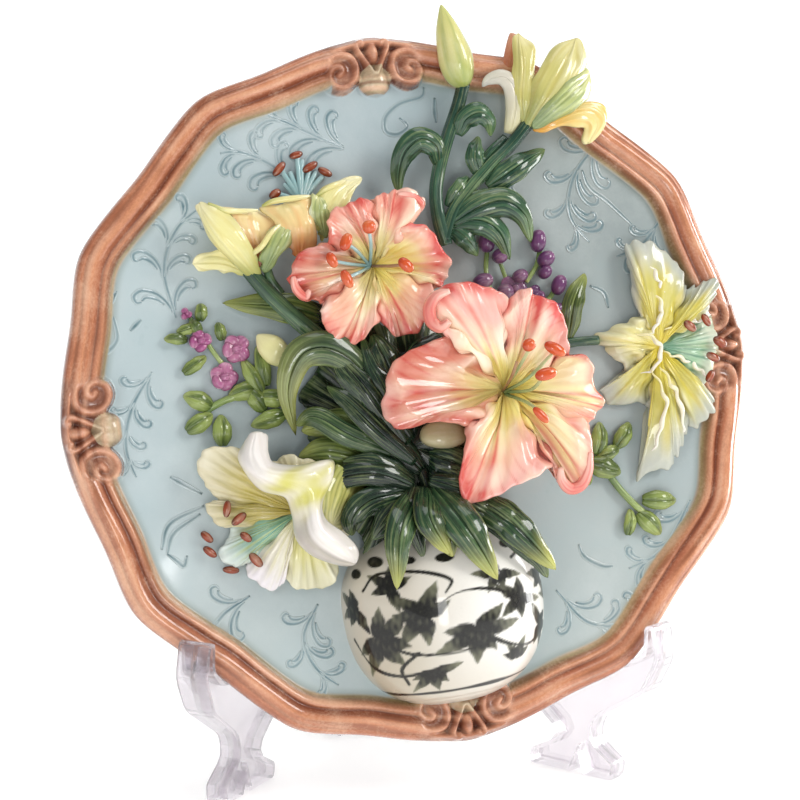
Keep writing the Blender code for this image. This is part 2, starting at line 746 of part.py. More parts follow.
def hinge_point():
    """The hinge's place on the floor, behind the lowest edge of the plate."""
    drop = plate_matrix().translation.z - SEAT_HEIGHT
    rim_back = -drop * math.tan(PLATE_LEAN)
    return Vector((STAND_SIDEWAYS, rim_back + seat_along() * math.cos(PANEL_ANGLE), 0))


def along_panel(height, out):
    """Distance from the hinge at which a panel meets the plane that lies out of the plate's field by out."""
    centre_height = plate_matrix().translation.z
    depth = (height - centre_height) * math.tan(PLATE_LEAN) - out / math.cos(PLATE_LEAN)
    return (hinge_point().y - depth) / math.cos(PANEL_ANGLE)


def arc_points(centre, spoke, turn, steps):
    """Points of an arc about a centre, from the end of a spoke through a turn."""
    return [centre + Matrix.Rotation(turn * step / steps, 2) @ spoke for step in range(steps + 1)]


def rounded_outline(corners):
    """Points of a closed outline: each corner (along, height, radius) becomes an arc of a few steps."""
    points = []
    for i, (along, height, radius) in enumerate(corners):
        here = Vector((along, height))
        if radius == 0:
            points.append(here)
            continue
        to_before = (Vector(corners[i - 1][:2]) - here).normalized()
        to_after = (Vector(corners[(i + 1) % len(corners)][:2]) - here).normalized()
        half = to_before.angle(to_after) / 2
        start = here + to_before * radius / math.tan(half)
        end = here + to_after * radius / math.tan(half)
        centre = here + (to_before + to_after).normalized() * radius / math.sin(half)
        spoke = start - centre
        turn = math.copysign(math.pi - 2 * half, spoke.x * (end - centre).y - spoke.y * (end - centre).x)
        points += arc_points(centre, spoke, turn, ARC_STEPS)
    return points


def inset_outline(points, distance):
    """The same closed outline, moved inwards by a distance; the points run anticlockwise."""
    moved = []
    for i, here in enumerate(points):
        before = (here - points[i - 1]).normalized()
        after = (points[(i + 1) % len(points)] - here).normalized()
        inward = (Vector((-before.y, before.x)) + Vector((-after.y, after.x))).normalized()
        moved.append(here + inward * distance / max(inward.dot(Vector((-after.y, after.x))), 0.5))
    return moved


def panel_corners():
    """Outline of a stand half, seen from its side: distance from the hinge, height, corner radius."""
    skew = FLANGE_WIDTH / 2 * math.tan(PANEL_ANGLE) + SEAT_CLEARANCE
    seat = seat_along()
    finger_low = along_panel(SEAT_HEIGHT, -RIM_DROP) - skew
    finger_high = along_panel(FINGER_HEIGHT, -RIM_DROP) - skew
    hook_top = SEAT_HEIGHT + HOOK_RISE
    hook_inner = along_panel(hook_top, RIM_RISE) + skew
    hook_outer = hook_inner + HOOK_THICKNESS
    toe_back = TOE_NOTCH - REAR_TOE_LENGTH
    toe_front = TOE_NOTCH + FRONT_TOE_LENGTH
    return [
        (HINGE_GAP, 0, 0),
        (REAR_FOOT_LENGTH, 0, FOOT_CORNER_RADIUS),
        (REAR_FOOT_LENGTH + ARCH_SIDE_SLOPE, ARCH_HEIGHT - ARCH_SIDE_DROP, ARCH_SIDE_RADIUS),
        (toe_back, ARCH_HEIGHT, ARCH_TOP_RADIUS),
        (toe_back + NECK_BACK_DEPTH, NECK_BACK_HEIGHT, NECK_BACK_RADIUS),
        (toe_back, TOE_THICKNESS, TOE_CORNER_RADIUS),
        (toe_back, 0, TOE_CORNER_RADIUS),
        (TOE_NOTCH - NOTCH_HALF_WIDTH, 0, 0),
        (TOE_NOTCH, NOTCH_HEIGHT, 0),
        (TOE_NOTCH + NOTCH_HALF_WIDTH, 0, 0),
        (toe_front - TOE_TIP_SLOPE, 0, TOE_CORNER_RADIUS),
        (toe_front, TOE_TIP_THICKNESS, TOE_CORNER_RADIUS),
        (toe_front - NECK_FRONT_DEPTH, NECK_FRONT_HEIGHT, NECK_FRONT_RADIUS),
        (toe_front - SHOULDER_DEPTH, SHOULDER_HEIGHT, SHOULDER_RADIUS),
        (seat + BELLY_DEPTH, SEAT_HEIGHT - BELLY_DROP, BELLY_RADIUS),
        (hook_outer + HOOK_FOOT_DEPTH, SEAT_HEIGHT + HOOK_FOOT_RISE, BELLY_RADIUS),
        (hook_outer, hook_top, HOOK_TIP_RADIUS),
        (hook_inner, hook_top, HOOK_TIP_RADIUS),
        (hook_inner, SEAT_HEIGHT + SEAT_CORNER_RISE, SEAT_CORNER_RADIUS),
        (seat, SEAT_HEIGHT - SEAT_SINK, SEAT_SINK_RADIUS),
        (finger_low, SEAT_HEIGHT - FINGER_FOOT_DROP, SEAT_CORNER_RADIUS),
        (finger_high, FINGER_HEIGHT, FINGER_TIP_RADIUS),
        (finger_high - FINGER_WIDTH, FINGER_HEIGHT, FINGER_TIP_RADIUS),
        (finger_high - FINGER_WIDTH - BACK_SLOPE, FINGER_HEIGHT - BACK_DROP, BACK_RADIUS),
        (HINGE_GAP, HINGE_SIDE_HEIGHT, 0),
    ]


def panel_half_width(along, height):
    """Half the width of the flange: widest at the hook that holds the front of the rim."""
    at_hook = smooth_step(seat_along() - FLANGE_WIDTH * 0.45, seat_along() + FLANGE_WIDTH * 0.9, along)
    at_hook *= smooth_step(SEAT_HEIGHT * 0.5, SEAT_HEIGHT * 0.9, height)
    return (FLANGE_WIDTH + (HOOK_WIDTH - FLANGE_WIDTH) * at_hook) / 2


def make_panel(name, direction, parts):
    """One side of a stand half, open at its middle plane: flange, then web. A mirror makes the other side."""
    outline = rounded_outline(panel_corners())
    inner = inset_outline(outline, FLANGE_THICKNESS)
    bm = bmesh.new()
    rings = [
        [(x, 0, z) for x, z in outline],
        [(x, panel_half_width(x, z), z) for x, z in outline],
        [(x, panel_half_width(x, z), z) for x, z in inner],
        [(x, WEB_THICKNESS / 2, z) for x, z in inner],
    ]
    loft(bm, rings, open_start=True)
    panel = new_object(name, bm, parts)
    if panel.data.polygons[-1].normal.y < 0:
        panel.data.flip_normals()
    mirror = panel.modifiers.new("other_side", "MIRROR")
    mirror.use_axis = (False, True, False)
    mirror.merge_threshold = 0.00005
    panel.location = hinge_point()
    panel.rotation_euler.z = direction
    return panel


def add_prism(name, points, low, high, like, collection):
    """An upright prism over a flat outline, standing in the place of another object."""
    bm = bmesh.new()
    loft(bm, [[(x, y, z) for x, y in points] for z in (low, high)])
    obj = as_helper(new_object(name, bm, collection))
    obj.location = like.location
    obj.rotation_euler = like.rotation_euler
    return obj


def box_points(low_x, high_x, half_y):
    return [(low_x, -half_y), (high_x, -half_y), (high_x, half_y), (low_x, half_y)]


def lug_heights():
    """Lowest height of each of the three lugs that hold the hinge rod."""
    free = HINGE_SIDE_HEIGHT - LUG_HEIGHT - 2 * LUG_MARGIN
    return [LUG_MARGIN + free * k / 2 for k in range(3)]


def join_hinge(panel, hinge):
    join = panel.modifiers.new("join_hinge", "BOOLEAN")
    join.operation = "UNION"
    join.operand_type = "COLLECTION"
    join.collection = hinge
    join.solver = SOLVER


def add_rod(panel, helpers):
    """The rod and its lugs, on the right half."""
    hinge = bpy.data.collections.new("hinge_rod_parts")
    helpers.children.link(hinge)
    heights = lug_heights()
    round_rod = arc_points(Vector((0, 0)), Vector((ROD_RADIUS, 0)), 2 * math.pi, 12)[:-1]
    rod_low = heights[0] - ROD_OVERHANG
    rod_high = heights[2] + LUG_HEIGHT + ROD_OVERHANG
    add_prism("hinge_rod", round_rod, rod_low, rod_high, panel, hinge)
    lug = box_points(0, HINGE_GAP + FLANGE_THICKNESS / 2, ROD_RADIUS * LUG_SHARE)
    for k, low in enumerate(heights):
        add_prism(f"hinge_lug_{k + 1}", lug, low, low + LUG_HEIGHT, panel, hinge)
    join_hinge(panel, hinge)


def add_clips(panel, helpers):
    """Two open clips that snap round the rod, on the left half."""
    hinge = bpy.data.collections.new("hinge_clip_parts")
    helpers.children.link(hinge)
    bore = ROD_RADIUS + CLIP_CLEARANCE
    outside = bore + CLIP_WALL
    reach = math.pi - CLIP_OPENING / 2
    first_spoke = Matrix.Rotation(-reach, 2) @ Vector((1, 0))
    outer = arc_points(Vector((0, 0)), first_spoke * outside, 2 * reach, 12)
    inner = arc_points(Vector((0, 0)), first_spoke * bore, 2 * reach, 12)
    neck = box_points(bore + CLIP_WALL * 0.5, HINGE_GAP + FLANGE_THICKNESS / 2, bore * LUG_SHARE)
    heights = lug_heights()
    for k in range(2):
        middle = (heights[k] + LUG_HEIGHT + heights[k + 1]) / 2
        low = middle - CLIP_HEIGHT / 2
        high = middle + CLIP_HEIGHT / 2
        add_prism(f"hinge_clip_{k + 1}", outer + inner[::-1], low, high, panel, hinge)
        add_prism(f"hinge_neck_{k + 1}", neck, low + CLIP_NECK_INSET, high - CLIP_NECK_INSET, panel, hinge)
    join_hinge(panel, hinge)


def cut_seat(panel, envelope):
    """Clears the plate, so that the rim lies in the seat and against the finger with a small gap."""
    cut = panel.modifiers.new("cut_seat", "BOOLEAN")
    cut.operation = "DIFFERENCE"
    cut.object = envelope
    cut.solver = SOLVER


def make_stand(parts, helpers):
    grown = dish_mesh(grown_profile(plate_profile(), SEAT_CLEARANCE))
    envelope = as_helper(new_object("plate_envelope", grown, helpers))
    envelope.matrix_world = plate_matrix()
    right = make_panel("easel_right", PANEL_ANGLE - math.pi / 2, parts)
    left = make_panel("easel_left", -PANEL_ANGLE - math.pi / 2, parts)
    add_rod(right, helpers)
    add_clips(left, helpers)
    for panel in (left, right):
        cut_seat(panel, envelope)
    return left, right


def centre_on_floor(frame, parts):
    """Moves the frame that carries everything, so that the parts stand on the floor about the origin."""
    bpy.context.view_layer.update()
    graph = bpy.context.evaluated_depsgraph_get()
    spots = []
    for part in parts.objects:
        if part.type == "MESH":
            evaluated = part.evaluated_get(graph)
            spots += [evaluated.matrix_world @ vertex.co for vertex in evaluated.data.vertices]
    low = [min(spot[axis] for spot in spots) for axis in range(3)]
    high = [max(spot[axis] for spot in spots) for axis in range(3)]
    frame.location = (-(low[0] + high[0]) / 2, -(low[1] + high[1]) / 2, -low[2])


def main():
    clear_scene()
    parts = new_collection("decorative_plate")
    helpers = new_collection("plate_helpers")
    glaze = new_material("glazed_ceramic", (0.56, 0.60, 0.60), 0.12)
    clear = new_material("clear_plastic", (0.80, 0.78, 0.79), 0.06, 0.35)

    plate = make_plate(parts, helpers)
    plate.data.materials.append(glaze)
    for panel in make_stand(parts, helpers):
        panel.data.materials.append(clear)

    for helper in helpers.all_objects:
        if helper.name != "plate_envelope" and not helper.name.startswith("hinge_"):
            helper.matrix_world = plate_matrix()
    plate.matrix_world = plate_matrix()

    frame = bpy.data.objects.new("plate_frame", None)
    parts.objects.link(frame)
    for obj in [*parts.objects, *helpers.all_objects]:
        if obj != frame:
            obj.parent = frame
    for part in parts.objects:
        if part.type == "MESH":
            part.data.shade_smooth()
            part.data.set_sharp_from_angle(angle=math.radians(40))
    centre_on_floor(frame, parts)


main()
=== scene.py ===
import math
import bpy
import numpy as np
from mathutils import Matrix


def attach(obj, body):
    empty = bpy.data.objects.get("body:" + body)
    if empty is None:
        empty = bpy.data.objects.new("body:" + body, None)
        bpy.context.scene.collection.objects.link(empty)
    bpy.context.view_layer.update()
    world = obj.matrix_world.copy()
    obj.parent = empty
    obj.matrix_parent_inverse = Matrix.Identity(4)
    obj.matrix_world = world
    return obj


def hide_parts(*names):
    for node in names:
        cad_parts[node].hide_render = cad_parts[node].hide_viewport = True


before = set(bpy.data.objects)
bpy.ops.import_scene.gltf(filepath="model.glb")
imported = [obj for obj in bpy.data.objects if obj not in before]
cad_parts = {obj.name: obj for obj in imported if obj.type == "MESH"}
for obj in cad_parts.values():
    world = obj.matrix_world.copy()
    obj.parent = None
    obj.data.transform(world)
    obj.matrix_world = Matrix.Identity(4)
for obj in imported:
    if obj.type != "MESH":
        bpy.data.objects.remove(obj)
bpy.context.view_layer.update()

# Where the plate stands and how it is seen; lengths in metres, angles in degrees
stand = {"centre": (0.0, -0.02793, 0.17286), "lean": 9.34, "turn": 8.1}
view = {"distance": 0.8, "azimuth": 14.85, "elevation": 5.9, "roll": 1.25, "lens": 84.17,
        "sensor": 36, "shift": (-0.0212, -0.0152), "image": 800, "nearest": 0.05}


def turnAbout(axis, degrees):
    c, s = math.cos(math.radians(degrees)), math.sin(math.radians(degrees))
    i, j = {"x": (1, 2), "z": (0, 1)}[axis]
    m = np.eye(3)
    m[i, i], m[i, j], m[j, i], m[j, j] = c, -s, s, c
    return m


plateAxes = turnAbout("x", 90 - stand["lean"]) @ turnAbout("z", stand["turn"])
plateCentre = np.array(stand["centre"])
straight = turnAbout("z", -view["azimuth"]) @ turnAbout("x", 90 - view["elevation"])
cameraAxes = straight @ turnAbout("z", view["roll"])
cameraPlace = plateCentre + cameraAxes[:, 2] * view["distance"]


def toWorld(points):
    # millimetres on the plate (right, up, out of the field) to metres in the frame
    return np.asarray(points, float) / 1000 @ plateAxes.T + plateCentre


def seen(points):
    # points given as (column, row, height over the field): the camera's ray through that place of an
    # image of 800 by 800 is followed to the plane at that height; gives millimetres on the plate
    points = np.atleast_2d(np.asarray(points, float))
    size = view["image"]
    focal = view["lens"] / view["sensor"] * size
    across = (points[:, 0] - size / 2 + view["shift"][0] * size) / focal
    up = (size / 2 - points[:, 1] + view["shift"][1] * size) / focal
    rays = across[:, None] * cameraAxes[:, 0] + up[:, None] * cameraAxes[:, 1] - cameraAxes[:, 2]
    out = plateAxes[:, 2]
    start = cameraPlace - plateCentre
    reach = (points[:, 2] / 1000 - start @ out) / (rays @ out)
    return (start + rays * reach[:, None]) @ plateAxes * 1000


def rgb(*values):
    # a colour given as 0 to 255 on screen, as the linear values that the shader works in
    v = np.array(values, float) / 255
    return np.where(v <= 0.04045, v / 12.92, ((v + 0.055) / 1.055) ** 2.4)


def blend(a, b, share):
    share = np.clip(np.asarray(share, float), 0, 1)[..., None]
    return a * (1 - share) + b * share


def step(low, high, x):
    # from 0 at low to 1 at high, level at both ends
    t = np.clip((x - low) / (high - low), 0, 1)
    return t * t * (3 - 2 * t)


def hump(x, middle, width):
    # 1 at the middle, falling off as a bell on both sides
    return np.exp(-(((x - middle) / width) ** 2))


def taper(t, start=0.06, span=0.88, power=0.6):
    # the width along a rod: a power of the sine over most of a half turn
    return np.sin(np.pi * (start + span * t)) ** power


def ripple(a, b, seed):
    # a smooth uneven surface between about -1 and 1: a sum of six plane waves in random directions
    rng = np.random.default_rng(seed)
    waves = 6
    total = 0
    for k in range(waves):
        angle, phase = rng.uniform(0, 2 * math.pi, 2)
        pitch = rng.uniform(0.5, 1.6)
        total = total + np.sin(pitch * (a * math.cos(angle) + b * math.sin(angle)) + phase)
    return total / waves * 1.6


def creased(a, b, seed):
    # thin soft ridges: high where the uneven surface crosses zero
    return np.clip(1 - 1.5 * np.abs(ripple(a, b, seed)), 0, 1) ** 2


def cubic(a, b, c, d, f):
    # the cubic from b to c at share f: its slope at each is half the way between their neighbours
    return 0.5 * (2 * b + (c - a) * f + (2 * a - 5 * b + 4 * c - d) * f**2 + (3 * b - a - 3 * c + d) * f**3)


def curveThrough(points, count, after=None):
    # a smooth curve of cubics through its points at even steps; after is where it would go on to
    pts = np.asarray(points, float)
    first = 2 * pts[0] - pts[1]
    last = 2 * pts[-1] - pts[-2] if after is None else np.asarray(after, float)
    pts = np.vstack([first, pts, last])
    spans = len(pts) - 3
    t = np.linspace(0, spans, count)
    i = np.minimum(t.astype(int), spans - 1)
    return cubic(pts[i], pts[i + 1], pts[i + 2], pts[i + 3], (t - i)[:, None])


def unit(v):
    return v / np.maximum(np.linalg.norm(v, axis=-1, keepdims=True), 1e-9)


def whole(s, t):
    # a row and a column, both filled out to the full grid
    return s + 0 * t, t + 0 * s


def stacked(s, t):
    return np.stack(whole(s, t), -1)


def link(name, data):
    thing = bpy.data.objects.new(name, data)
    bpy.context.scene.collection.objects.link(thing)
    return thing


class Clay:
    # gathers closed skins with their paint into one mesh
    def __init__(self, name):
        self.name = name
        self.points, self.paint, self.flow, self.quads, self.tris = [], [], [], [], []
        self.count = 0

    def skin(self, grid, paint, flow, startPole=None, endPole=None):
        # rows of closed rings; a pole closes each end with a fan of triangles
        rows, cols = grid.shape[:2]
        startPole = grid[0].mean(0) if startPole is None else startPole
        endPole = grid[-1].mean(0) if endPole is None else endPole
        points = np.vstack([grid.reshape(-1, 3), startPole, endPole])
        index = np.arange(rows * cols).reshape(rows, cols)
        nextCol = np.roll(index, -1, axis=1)
        quads = np.stack([index[:-1], nextCol[:-1], nextCol[1:], index[1:]], -1).reshape(-1, 4)
        start = np.stack([nextCol[0], index[0], np.full(cols, rows * cols)], -1)
        end = np.stack([index[-1], nextCol[-1], np.full(cols, rows * cols + 1)], -1)
        tris = np.vstack([start, end])
        every = np.vstack([quads[:, [0, 1, 2]], quads[:, [0, 2, 3]], tris])
        corner = points - points.mean(0)
        one, two, three = (corner[every[:, k]] for k in range(3))
        if np.einsum("ij,ij->i", one, np.cross(two, three)).sum() < 0:
            # a skin that is inside out is turned
            quads, tris = quads[:, ::-1], tris[:, ::-1]
        self.points.append(points)
        self.paint.append(np.vstack([paint.reshape(-1, 3), paint[0].mean(0), paint[-1].mean(0)]))
        self.flow.append(np.vstack([flow.reshape(-1, 2), flow[0].mean(0), flow[-1].mean(0)]))
        self.quads.append(quads + self.count)
        self.tris.append(tris + self.count)
        self.count += len(points)

    def finish(self, material):
        points = toWorld(np.vstack(self.points))
        quads, tris = np.vstack(self.quads), np.vstack(self.tris)
        corners = np.concatenate([quads.ravel(), tris.ravel()])
        starts = np.concatenate([np.arange(len(quads)) * 4, len(quads) * 4 + np.arange(len(tris)) * 3])
        mesh = bpy.data.meshes.new(self.name)
        mesh.vertices.add(len(points))
        mesh.vertices.foreach_set("co", points.ravel().astype(np.float32))
        mesh.loops.add(len(corners))
        mesh.loops.foreach_set("vertex_index", corners.astype(np.int32))
        mesh.polygons.add(len(starts))
        mesh.polygons.foreach_set("loop_start", starts.astype(np.int32))
        mesh.update(calc_edges=True)
        mesh.validate()
        colour = np.ones((len(points), 4), np.float32)
        colour[:, :3] = np.clip(np.vstack(self.paint), 0, 1)
        layer = mesh.color_attributes.new("paint", "FLOAT_COLOR", "POINT")
        layer.data.foreach_set("color", colour.ravel())
        uv = mesh.uv_layers.new(name="flow")
        uv.data.foreach_set("uv", np.vstack(self.flow)[corners].astype(np.float32).ravel())
        mesh.shade_smooth()
        mesh.materials.append(material)
        piece = link(self.name, mesh)
        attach(piece, "root")
        print(self.name, len(quads) * 2 + len(tris), "triangles")
        return piece


# What shapes a petal, a whole flower or a leaf, in millimetres and shares; each piece changes what it
# needs. The groove colour is painted shade and the ridge colour a painted highlight, both by the relief
plainLook = {
    "seed": 1, "thick": 2.4, "root": 0.25, "rib": 0, "veins": 0, "vein": 0, "folds": 0, "fold": 1.0,
    "crumple": 0, "ruffle": 0, "ruffles": 3, "scallop": 0, "uneven": 0.5, "grooveShade": (rgb(0, 0, 0), 0),
    "ridgeHighlight": rgb(255, 255, 255), "ridgeHighlightShare": 0, "open": 0.55, "belly": 3.0, "crease": 3.0, "lap": 1.5,
    "lip": 1.6, "under": rgb(224, 164, 138), "fat": 0.85, "arch": 0.35, "keel": 0.12}


def sheet(clay, spine, sideA, sideB, paint, look, rows=46):
    # a petal: its middle line and both edges are smooth curves, and between them each cross line is the
    # parabola through the three; ribs, veins and an uneven edge push it out along its own normal
    look = {**plainLook, **look}
    middle, left, right = seen(spine), seen(sideA), seen(sideB)
    tip = middle[-1]
    rootA = middle[0] + (left[0] - middle[0]) * look["root"]
    rootB = middle[0] + (right[0] - middle[0]) * look["root"]
    centre = curveThrough(middle, rows)
    edgeA = curveThrough(np.vstack([rootA, left, tip]), rows, right[-1])
    edgeB = curveThrough(np.vstack([rootB, right, tip]), rows, left[-1])
    s = np.linspace(-1, 1, 27)[None, :]
    t = np.linspace(0, 1, rows)[:, None]
    half = (edgeB - edgeA)[:, None] / 2
    sag = ((edgeA + edgeB) / 2 - centre)[:, None]
    surface = centre[:, None] + s[..., None] * half + (s**2)[..., None] * sag
    finishSheet(clay, surface, s, t, paint, look)


def relief(s, t, look, seed, fade):
    # height along the normal, with s from -1 to 1 across and t from 0 to 1 along: a groove between two raised
    # lines down the middle, veins, a few folds that fan out, thin creases and waves that grow to the edge
    rng = np.random.default_rng(seed + 100)
    side = np.abs(s)
    push = look["rib"] * fade * (0.9 * hump(side, 0.12, 0.07) - 1.1 * hump(s, 0, 0.05))
    wave = np.cos(2 * np.pi * (s * look["veins"] / 2 + 0.25 * ripple(s, t * 3, seed)))
    push = push + look["vein"] * fade * wave * (1 - 0.5 * side)
    for k in range(look["folds"]):
        line = rng.uniform(-0.85, 0.85) * (0.75 + 0.35 * t) + 0.08 * np.sin(5 * t + k)
        size = look["fold"] * rng.uniform(0.4, 1.0) * rng.choice([-0.6, 1.0])
        push = push + size * fade * step(0.15, 0.5, t) * hump(s, line, 0.11)
    thin = creased(s * 3.0, t * 3.4, seed + 11) - 0.3
    push = push + look["crumple"] * fade * step(0.15, 0.6, t) * thin
    waves = 2 * np.pi * look["ruffles"] * t + seed * 1.7 + 1.9 * (s > 0)
    swing = np.sin(waves + 1.2 * ripple(s * 0.5, t * 4, seed + 3))
    push = push + look["ruffle"] * step(0.35, 1.0, side) * fade * swing
    return push + look["uneven"] * fade * ripple(s * 2, t * 5, seed + 7), waves


def shadeByRelief(colour, push, look):
    # the grooves take a darker colour as painted shade and the ridges a paler one as painted highlight
    grooveShade, share = look["grooveShade"]
    colour = blend(colour, grooveShade, np.clip(-push / 1.2 - 0.05, 0, 1) * share)
    return blend(colour, look["ridgeHighlight"], np.clip(push / 1.6 - 0.3, 0, 1) * look["ridgeHighlightShare"])


def finishSheet(clay, surface, s, t, paint, look):
    # the relief along the normal and the scallops along the edge, then a thickness that is fullest in the
    # middle and at the root, closed round both edges
    normal = unit(np.cross(np.gradient(surface, axis=1), np.gradient(surface, axis=0)))
    if normal[..., 2].mean() < 0:
        normal = -normal
    fade = np.sin(np.pi * np.clip(t, 0, 1)) ** 0.5
    push, waves = relief(s, t, look, look["seed"], fade)
    aside = unit(np.gradient(surface, axis=1))
    sway = look["scallop"] * step(0.4, 1.0, np.abs(s)) * np.sign(s) * fade * np.sin(waves + 1.4)
    surface = surface + normal * push[..., None] + aside * sway[..., None]
    thick = look["thick"] * np.sqrt(np.clip(1 - s**6, 0, 1)) * (1 - 0.35 * t) * (1 - t**12)
    top = surface + normal * thick[..., None] / 2
    under = surface - normal * thick[..., None] / 2
    colour = shadeByRelief(paint(*whole(s, t), look["seed"]), push, look)
    flow = stacked(s / 2 + 0.5, t)
    sides = ((top, under), (colour, colour), (flow, flow))
    ring, colour, flow = (np.concatenate([a, b[:, -2:0:-1]], axis=1)[:-1] for a, b in sides)
    clay.skin(ring, colour, flow, endPole=surface[-1].mean(0))


def petalPlaces(outline, at):
    # for every place along an outline: s, from -1 at a notch over 0 at the tip to 1 at the next notch, and
    # the number of the petal
    count = len(outline)
    notches = [i for i, p in enumerate(outline) if p[3:] == ("n",)]
    tips = [i for i, p in enumerate(outline) if p[3:] == ("t",)]
    tips = tips + [i + count for i in tips]
    s, petal = np.zeros(len(at)), np.zeros(len(at), int)
    for k, low in enumerate(notches):
        high = (notches + [notches[0] + count])[k + 1]
        tip = [i for i in tips if low < i < high][0]
        u = (at - low) % count + low
        mine = u < high
        s[mine] = np.where(u < tip, (u - tip) / (tip - low), (u - tip) / (high - tip))[mine]
        petal[mine] = k
    return s, petal, len(notches)


# The turned edge of a flower: shares of its thickness out and down. Its underside down to the field: shares
# of the reach and of the height; and how far each of these rows has the colour of the underside
turnedEdge = ((0.30, 0.22), (0.34, 0.60), (0.05, 0.95))
underside = ((0.95, 0.92), (0.86, 0.78), (0.74, 0.52), (0.62, 0.25), (0.54, 0.06))
underShare = (0, 0.1, 0.25, 0.5, 0.8, 1, 1, 1, 1)


def bloom(clay, heart, outline, paint, look, rows=64, per=11):
    # a whole flower in one skin: straight lines run from its heart to a smooth closed outline, rising like a
    # trumpet; each petal lies between two notches ("n") round its tip ("t"), and every other petal laps over
    # its neighbours; at the edge the skin turns over and goes down to the field
    look = {**plainLook, **look}
    seed, thick = look["seed"], look["thick"]
    spots, middle = seen([p[:3] for p in outline]), seen(heart)[0]
    corners = (np.roll(spots, k, axis=0)[:, None] for k in (1, 0, -1, -2))
    edge = cubic(*corners, (np.arange(per) / per)[None, :, None]).reshape(-1, 3)
    at = np.arange(len(outline) * per) / per
    s, petal, petals = petalPlaces(outline, at)
    t = np.linspace(0.02, 1, rows)[:, None]
    side = np.abs(s)[None, :]
    across = unit(edge[:, :2] - middle[:2])
    edge[:, :2] += across * (look["scallop"] * ripple(at * 5.0, at * 0, seed))[:, None]
    surface = np.empty((rows, len(at), 3))
    surface[..., :2] = middle[:2] + (edge[:, :2] - middle[:2]) * t[..., None]
    high = middle[2] + (edge[:, 2] - middle[2]) * t ** look["open"]
    high = high + look["belly"] * (1 - 0.8 * side**2) * np.sin(np.pi * t**1.3)
    high = high - look["crease"] * hump(1 - side, 0, 0.13) * step(0.10, 0.35, t) * (1 - 0.4 * t)
    over = (petal % 2 == 0)[None, :] * step(0.70, 1.0, side) * step(0.15, 0.5, t)
    surface[..., 2] = high + look["lap"] * over
    around = unit(np.stack([-across[:, 1], across[:, 0]], -1)) * np.sign(s)[:, None]
    turning = np.sign(np.cross(across, np.roll(across, -3, axis=0))).mean()
    surface[..., :2] += around * (turning * look["lip"] * over)[..., None]
    wide = np.roll(surface, -1, axis=1) - np.roll(surface, 1, axis=1)
    normal = unit(np.cross(wide, np.gradient(surface, axis=0)))
    normal = normal * np.sign(normal[..., 2:].mean())
    push, colour = np.zeros((rows, len(at))), np.zeros((rows, len(at), 3))
    for k in range(petals):
        mine = petal == k
        own, shade = s[mine][None, :], seed + 3 * k
        push[:, mine] = relief(own, t, look, shade, step(0.0, 0.30, t))[0]
        brush = paint[k] if isinstance(paint, list) else paint
        colour[:, mine] = shadeByRelief(brush(*whole(own, t), shade), push[:, mine], look)
    surface = surface + normal * push[..., None]
    rim = [surface[-1] + np.column_stack([across * out * thick, np.full(len(at), -down * thick)])
           for out, down in turnedEdge]
    for share, fall in underside:
        row = middle + (surface[-1] - middle) * share
        row[:, 2] = np.minimum(surface[-1][:, 2] * fall, surface[int(share * rows) - 1][:, 2] - thick)
        rim.append(row)
    rim = np.array([*rim, rim[-1]])
    rim[-1, :, 2] = -1.0
    below = blend(
        colour[-1][None] + 0 * rim, look["under"], stacked(s, np.array(underShare)[:, None])[..., 1])
    lower = stacked((s / 2 + 0.5)[None, :], np.linspace(1, 0, len(rim))[:, None])
    flow = np.vstack([stacked((s / 2 + 0.5)[None, :], t), lower])
    clay.skin(np.vstack([surface, rim]), np.vstack([colour, below]), flow, startPole=surface[0].mean(0))


def leaf(clay, line, width, paint, look, rows=30, across=23):
    # a leaf: widths that rise and fall along a smooth middle line, arched across, with fine grooves
    look = {**plainLook, **look}
    line = curveThrough(line, rows)
    along = unit(np.gradient(line, axis=0))
    aside = unit(np.cross(along, [0, 0, 1.0]))
    out = np.cross(aside, along)
    s = np.linspace(-1, 1, across)[None, :]
    t = np.linspace(0, 1, rows)[:, None]
    rise = np.clip(np.sin(np.pi * (0.06 + 0.94 * t) ** look["fat"]), 0, 1) ** 0.75
    half = (s * (width * rise))[..., None]
    arch = look["arch"] * width * (1 - s**2) * rise - look["keel"] * width * hump(s, 0, 0.12) * rise
    surface = line[:, None] + aside[:, None] * half + out[:, None] * arch[..., None]
    finishSheet(clay, surface, s, t, paint, look)


def tube(clay, line, radius, paint, rows, sides=16, flat=1.0, ridge=0.0, ridges=5, seed=1):
    # a round rod along a smooth curve, its radius and colour given along the way
    line = curveThrough(line, rows)
    t = np.linspace(0, 1, rows)
    along = unit(np.gradient(line, axis=0))
    aside = unit(np.cross(along, np.array([0.02, 0.01, 1.0])))
    out = np.cross(aside, along)
    turn = np.linspace(0, 2 * np.pi, sides, endpoint=False)[None, :]
    r = radius(t) if callable(radius) else np.full(rows, float(radius))
    t = t[:, None]
    r = r[:, None] * (1 + ridge * np.cos(ridges * turn + seed) + 0.04 * ripple(turn, t * 12, seed))
    ring = line[:, None] + aside[:, None] * (r * np.cos(turn))[..., None]
    ring = ring + out[:, None] * (flat * r * np.sin(turn))[..., None]
    clay.skin(ring, paint(*whole(np.cos(turn), t), seed), stacked(np.abs(turn / np.pi - 1), t))


